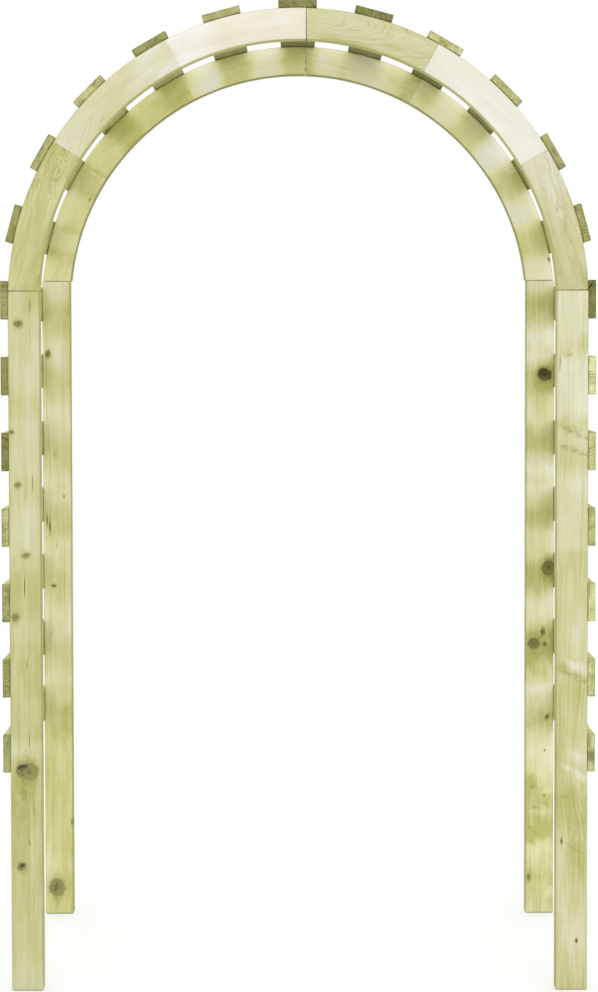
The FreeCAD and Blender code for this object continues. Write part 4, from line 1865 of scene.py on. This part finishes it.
@dataclass
class Studio:
    """The pale floor, the soft light and the camera."""

    camera_place: tuple[float, float, float] = (0.0016, -3.7450, 1.4611)
    pitch_down: float = 0.0261
    roll: float = -0.0019
    lens: float = 57.389
    image_height: float = 36.0
    shift_down: float = -0.1194
    floor_half: float = 20.0
    sky_strength: float = 1.17
    sun_strength: float = 0.25
    sun_elevation: float = math.radians(30)
    sun_bearing: float = math.radians(10)
    sun_width: float = math.radians(60)

    def build(self) -> None:
        """Builds the floor, the light and the camera."""
        bpy.context.scene.view_settings.view_transform = "Standard"
        self.add_floor()
        self.add_sky()
        self.add_sun()
        self.add_camera()

    def add_floor(self) -> None:
        """Adds the floor."""
        half = self.floor_half
        mesh = bpy.data.meshes.new("floor")
        corners = [(-half, -half, 0), (half, -half, 0), (half, half, 0), (-half, half, 0)]
        mesh.from_pydata(corners, [], [(0, 1, 2, 3)])
        mesh.materials.append(FloorFinish().make())
        add_piece("floor", mesh)

    def add_sky(self) -> None:
        """Adds an even white surround, a little brighter as light than to the eye."""
        world = bpy.data.worlds.new("studio")
        world.use_nodes = True
        world.node_tree.nodes.clear()
        graph = Graph(world.node_tree)
        strength = background_rays(graph) * (1.0 - self.sky_strength) + self.sky_strength
        sky = graph.out("ShaderNodeBackground", {"Color": WHITE, "Strength": strength})
        graph.node("ShaderNodeOutputWorld", {"Surface": sky})
        bpy.context.scene.world = world

    def add_turned(self, name: str, data: bpy.types.ID, place: Matrix) -> bpy.types.Object:
        """Puts a lamp or a camera into the scene."""
        added = bpy.data.objects.new(name, data)
        added.matrix_world = place
        bpy.context.scene.collection.objects.link(added)
        return added

    def add_sun(self) -> None:
        """Adds one broad soft light from the front, above the camera."""
        lamp = bpy.data.lights.new("soft_sun", "SUN")
        lamp.energy = self.sun_strength
        lamp.angle = self.sun_width
        tilt = Matrix.Rotation(QUARTER_TURN - self.sun_elevation, 4, "X")
        self.add_turned("soft_sun", lamp, Matrix.Rotation(self.sun_bearing, 4, "Z") @ tilt)

    def add_camera(self) -> None:
        """Adds the camera at the photograph's viewing angle."""
        lens = bpy.data.cameras.new("camera")
        lens.sensor_fit = "VERTICAL"
        lens.sensor_height = self.image_height
        lens.lens = self.lens
        lens.shift_y = self.shift_down
        aim = Matrix.Rotation(QUARTER_TURN - self.pitch_down, 4, "X") @ Matrix.Rotation(self.roll, 4, "Z")
        place = Matrix.Translation(self.camera_place) @ aim
        bpy.context.scene.camera = self.add_turned("camera", lens, place)


# The arch

def leg_slats(ring: Ring, drop: float, strength: float) -> SlatShadeRow:
    """Gives the row of slats on a leg, whose painted shade and light fall on a back post.

    Args:
        ring: The circle, at whose centre height the row starts.
        drop: How far below each slat its painted shadow lies, as if lit from above.
        strength: How strongly the painted shadows and light show.

    Returns:
        The row.
    """
    first, second, last = (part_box(f"right_slat_{number}")[0].z for number in (1, 2, 7))
    return SlatShadeRow(ring.centre_height - drop, first - second, last, strength)


def post_looks(ring: Ring) -> dict[str, Look]:
    """Lists what is to be seen on the posts.

    The front left post has seven knots, two of them drawn in several parts, and eight drying cracks. The
    front right one changes its tone along its length, and the back right one is the knottiest.

    Args:
        ring: The circle that the arch follows.

    Returns:
        The looks by place.
    """
    return {
        "front_left": Look(
            (0.570, 0.560, 0.290), Figure.STRIPED,
            knots=(
                Knot(1490, -11.4, 7.5, 11.5, KnotKind.DARK, -0.2), Knot(1250, -27.5, 4.5, 6.5),
                Knot(1133, -14.8, 6, 8.5), Knot(976, 3.1, 5.5, 11, KnotKind.LIVE, -0.35),
                Knot(838, -22.2, 8.5, 10, KnotKind.LIVE, 0.3), Knot(494, 4.6, 21, 26.5),
                Knot(497, -9.5, 15, 15, KnotKind.DARK, -0.3), Knot(504, -7.5, 5, 13, KnotKind.DEAD, -0.25),
                Knot(487, -7.5, 7, 9, KnotKind.LIVE, -0.3), Knot(281, -11.5, 8, 11.5, KnotKind.DARK, -0.5),
                Knot(283, -9, 4.5, 6.5, KnotKind.DEAD, -0.4),
            ),
            streaks=(
                Streak((482, -10), (424, -6), 8, 0.75), Streak((330, 6), (362, 6), 3.5, 0.5),
                Streak((336, -19), (362, -20), 3, 0.4),
            ),
            patches=(
                Patch(1545, 30, -0.25), Patch(1400, 80, 0.3), Patch(1220, 90, 0.2), Patch(1040, 50, 0.35),
                Patch(1310, 30, -0.25), Patch(890, 60, -0.35), Patch(660, 120, -0.45),
                Patch(543, 20, 0.4, 0.7), Patch(445, 60, -0.65, 0.8, -12, 26),
                Patch(462, 18, -0.9, 0.6, -8, 16), Patch(330, 90, -0.35), Patch(100, 30, -0.2),
                Patch(20, 40, 0.15),
            ),
            checks=(
                Check(14, 1513, 1546), Check(18, 1115, 1161), Check(-1, 875, 938, width=1.8),
                Check(3.6, 716, 754), Check(7.6, 546, 582), Check(-1.4, 421, 455), Check(17, 394, 419),
                Check(7.4, 324, 342),
            ),
        ),
        "back_left": Look(
            (0.705, 0.689, 0.362), Figure.STRIPED,
            knots=(
                Knot(1418, -21.2, 9, 8, KnotKind.DARK), Knot(1166, -5.9, 10, 3, KnotKind.FAINT),
                Knot(1085, 17.2, 3.5, 2.4, KnotKind.FAINT), Knot(1060, 17.2, 4, 2.2),
                Knot(984, -18.5, 16, 2.8), Knot(1000, -25.5, 14, 2.2),
                Knot(937, -1.9, 9, 3, KnotKind.FAINT), Knot(834, -10, 3.5, 8),
                Knot(712, -17, 12, 4, KnotKind.FAINT), Knot(234, 34.5, 7, 5), Knot(68, -6.5, 24, 23),
            ),
            streaks=(Streak((540, 33.5), (578, 34.5), 1.6, 0.7),),
            patches=(
                Patch(1100, 420, 0.42, 0.4), Patch(1500, 110, -0.45, 0.6, 28, 16), Patch(930, 80, -0.25),
                Patch(480, 70, -0.45, 0.6, 26, 16), Patch(550, 40, -0.25), Patch(250, 200, -0.38, 0.5),
                Patch(120, 30, 0.25), Patch(30, 50, -0.25, 0.5),
            ),
            slats=leg_slats(ring, 0.043, 0.3),
        ),
        "front_right": Look(
            (0.605, 0.593, 0.320), Figure.STRIPED,
            knots=(
                Knot(1420, -11, 8, 17, KnotKind.FAINT), Knot(470, 30, 65, 36, KnotKind.HIDDEN),
                Knot(335, -22.5, 7, 3, KnotKind.DARK), Knot(112, 11, 4.5, 3.4, KnotKind.DEAD),
            ),
            streaks=(
                Streak((1264, -30), (1232, 33), 14, 0.6), Streak((1262, -8), (1252, 24), 9, 0.45),
                Streak((1221, -29), (1193, 33), 13, 0.55), Streak((716, -20), (692, 33), 14, 0.55),
                Streak((436, -32), (436, -2), 3, 0.6), Streak((466, -28), (464, -6), 3, 0.45),
                Streak((427, -10), (444, 32), 4, 0.55, -20), Streak((371, -13), (353, 32), 4.6, 0.8, -8),
                Streak((338, -21), (309, 29), 4.6, 0.8, -4), Streak((322, -26), (280, 20), 4, 0.55, -4),
            ),
            patches=(
                Patch(1490, 80, 0.55, 0.5), Patch(1447, 22, -0.8, 0.6, 28, 17, -0.5),
                Patch(1345, 72, 0.8, 0.4), Patch(1268, 14, -0.35, 0.9),
                Patch(1232, 16, 0.15, 0.9, slope=0.5), Patch(1182, 34, -0.2, 0.9),
                Patch(1140, 30, 0.35, 0.6), Patch(1070, 85, 0.35, 0.15), Patch(873, 112, -0.2, 0.06),
                Patch(790, 40, 0.45, 0.7, 18, 22), Patch(722, 12, -0.6, 0.5, -22, 14),
                Patch(724, 12, 0.85, 0.5, 15, 24, 0.4), Patch(620, 75, -0.2, 0.3),
                Patch(526, 12, 0.6, 0.9, 10, 16, 0.4), Patch(500, 6, 0.8, 0.9, -11, 16, 0.5),
                Patch(482, 8, 0.9, 0.9, 17, 14, 0.5), Patch(515, 40, -0.5, 0.8, -30, 12),
                Patch(410, 50, -0.6, 0.5), Patch(300, 60, -0.6, 0.6, 16, 24, 0.8),
                Patch(240, 110, 0.4, 0.5, -16, 16), Patch(130, 35, 0.35, 0.7, -6, 26),
                Patch(20, 40, -0.2, 0.8),
            ),
            checks=(Check(-28.5, 1379, 1425, width=1.8),),
        ),
        "back_right": Look(
            (0.735, 0.718, 0.390), Figure.STRIPED,
            knots=(
                Knot(1365, 11, 17, 20.5, KnotKind.DEAD, 0.3), Knot(877, 21.5, 22, 18, KnotKind.DARK),
                Knot(686, -15, 15, 17, KnotKind.DARK), Knot(715, 7.8, 8.5, 6.5, KnotKind.DARK),
                Knot(684, 12.4, 6, 5, KnotKind.DARK), Knot(700, 0.6, 5, 7, KnotKind.FAINT),
                Knot(661, -12, 4, 13, KnotKind.FAINT), Knot(500, 18.5, 6.5, 5.5, KnotKind.DARK, 0.5),
                Knot(415, 12.5, 2.2, 2.5, KnotKind.DARK), Knot(324, -17, 10, 12, KnotKind.FAINT),
                Knot(300, 11.7, 2.4, 2.6, KnotKind.DARK), Knot(207, -13.5, 6, 7, KnotKind.FAINT),
                Knot(219, -24.5, 4, 6, KnotKind.FAINT), Knot(93, -26.5, 8, 5.5),
            ),
            streaks=(
                Streak((205, 34), (292, 34.5), 4.5, 0.8), Streak((262, -34), (262, 12), 7, 0.45, 8),
                Streak((290, 4), (264, 32), 7, 0.35),
            ),
            patches=(
                Patch(1310, 50, -0.3, 0.6, 4, 24), Patch(840, 30, -0.3, 0.7, -10, 20),
                Patch(400, 70, 0.25, 0.6), Patch(290, 50, -0.75, 0.9), Patch(212, 24, -0.85, 0.9),
                Patch(335, 16, -0.6, 0.9, -18, 18), Patch(262, 12, 0.5, 0.9, 14, 20),
                Patch(312, 8, 0.6, 0.9, 22, 10), Patch(1480, 40, 0.8, 0.6), Patch(1400, 20, 0.7, 0.6),
                Patch(1140, 30, 0.7, 0.6), Patch(1060, 30, 0.55, 0.6), Patch(890, 30, -0.15, 0.6),
                Patch(720, 30, -0.4, 0.6), Patch(550, 30, 0.8, 0.6), Patch(460, 30, -0.4, 0.6),
                Patch(215, 35, -0.45, 0.9), Patch(120, 35, -0.55, 0.9), Patch(135, 35, 0.2, 0.5),
                Patch(60, 45, -0.35, 0.4), Patch(55, 12, 0.6, 0.7, 26, 10), Patch(640, 40, -0.85, 0.6),
                Patch(1450, 30, 0.35, 0.6),
            ),
            slats=leg_slats(ring, 0.018, 0.45),
            treated=(0.69, 0.71, 0.44),
        ),
    }


def ring_looks() -> dict[str, dict[str, Look]]:
    """Lists what is to be seen on the ring segments, by side and place."""
    faint_treatment = (0.88, 0.88, 0.80)
    return {
        "front": {
            "left_lower": Look((0.580, 0.565, 0.285), Figure.WAVY,
                knots=(Knot(-80.5, 17.8, 9, 6, KnotKind.FAINT),),
                patches=(Patch(-130, 60, -0.35),),
            ),
            "left_middle": Look((0.655, 0.641, 0.425), Figure.SLANTED,
                patches=(
                    Patch(-140, 60, 0.45), Patch(85, 50, -0.12),
                ),
            ),
            "left_upper": Look((0.765, 0.728, 0.580), Figure.QUIET, treated=faint_treatment,
                patches=(Patch(105, 50, 0.5),),
            ),
            "right_upper": Look((0.590, 0.577, 0.330), Figure.FLAMED),
            "right_middle": Look((0.775, 0.767, 0.660), Figure.QUIET, treated=faint_treatment),
            "right_lower": Look((0.605, 0.587, 0.350), Figure.CURLED,
                patches=(
                    Patch(120, 60, 0.5), Patch(-80, 70, -0.3),
                ),
            ),
        },
        # the back ring's base colours are paler than the front's: partly their own tone, partly painted light
        # for the light that the front ring and slats keep off them
        "back": {
            "left_lower": Look((0.800, 0.778, 0.420), Figure.CLOUDED,
                knots=(Knot(-75.6, -28.8, 3.5, 2.6),),
                patches=(
                    Patch(45, 24, 0.9), Patch(-34, 30, -0.45), Patch(116, 40, -0.55), Patch(-114, 20, 0.2),
                    Patch(-170, 25, 0.2),
                ),
            ),
            "left_middle": Look((0.755, 0.745, 0.350), Figure.CLOUDED,
                knots=(Knot(-39.3, 22.4, 4, 3, KnotKind.FAINT),),
                patches=(
                    Patch(-52, 35, -0.75), Patch(20, 30, -0.35), Patch(111, 30, -0.35),
                    Patch(158, 18, -0.25),
                ),
            ),
            "left_upper": Look((0.870, 0.848, 0.465), Figure.CLOUDED,
                patches=(Patch(90, 25, 0.45),),
            ),
            "right_upper": Look((0.830, 0.810, 0.460), Figure.CLOUDED,
                patches=(
                    Patch(0, 35, 0.85), Patch(-95, 30, -0.5), Patch(65, 25, -0.2), Patch(135, 20, -0.25),
                ),
            ),
            "right_middle": Look((0.885, 0.868, 0.505), Figure.CLOUDED,
                patches=(
                    Patch(148, 25, 0.26), Patch(-10, 25, 0.2), Patch(-90, 25, 0.15),
                ),
            ),
            "right_lower": Look((0.850, 0.835, 0.495), Figure.CLOUDED,
                knots=(Knot(-92.1, 23.9, 5, 3.5),),
            ),
        },
    }


def posts(ring: Ring) -> list[Post]:
    """Lists the four posts. The back ones, beside the slats, have deeper sides and edges, as painted shade on
    their rounded arrises.

    Args:
        ring: The circle that the arch follows.

    Returns:
        The posts, not yet built.
    """
    made = []
    for number, (place, look) in enumerate(post_looks(ring).items(), start=1):
        depths = {"rim_depth": 0.6, "edge_depth": 0.4} if look.slats else {}
        finish = PineFinish(f"pine_{place}_post", look, float(number), **depths)
        made.append(Post(f"post_{place}", f"{place}_post", "post_pine", finish))
    return made


def ring_segments(ring: Ring) -> list[RingSegment]:
    """Lists the twelve segments of the two rings.

    Args:
        ring: The circle that they follow.

    Returns:
        The segments, not yet built.
    """
    # the ring's band-sawn sides: darker from soaked-in treatment and from painted shade; the back ring's much
    # darker colour is painted shade
    rims = {"front": (0.46, 0.465, 0.145), "back": (0.250, 0.246, 0.085)}
    slat_step = math.pi / 12
    rows = {"front": None, "back": SlatShadeRow(first=0.0, pitch=slat_step, last=0.0, strength=0.5)}
    first_number = 10.0
    segments = []
    for side, looks in ring_looks().items():
        for place, look in looks.items():
            finish = RingPine(
                f"pine_{side}_{place}_segment", replace(look, slats=rows[side]), first_number + len(segments),
                side=rims[side], centre_height=ring.centre_height, middle_radius=ring.middle,
            )
            node = f"{side}_{place}_segment"
            segments.append(RingSegment(f"segment_{side}_{place}", node, "ring_pine", finish, ring=ring))
    return segments


def dress_dowels(finish: BeechFinish) -> None:
    """Gives the dowels inside the joints their wood."""
    material = finish.make()
    for node in ("post_dowels", "segment_dowels", "crown_dowels"):
        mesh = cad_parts[node].data
        mesh.materials.clear()
        mesh.materials.append(material)


def main() -> None:
    """Builds the arch piece by piece, then the studio round it."""
    logging.basicConfig(level=logging.INFO, format="%(name)s: %(message)s")
    ring = Ring()
    pieces = [board.build() for board in [*posts(ring), *ring_segments(ring)]]
    for piece in pieces + SlatRun(ring).build():
        LOG.info("%s: %d faces", piece.name, len(piece.data.polygons))
    dress_dowels(BeechFinish())
    Studio().build()


if __name__ == "__main__":
    main()
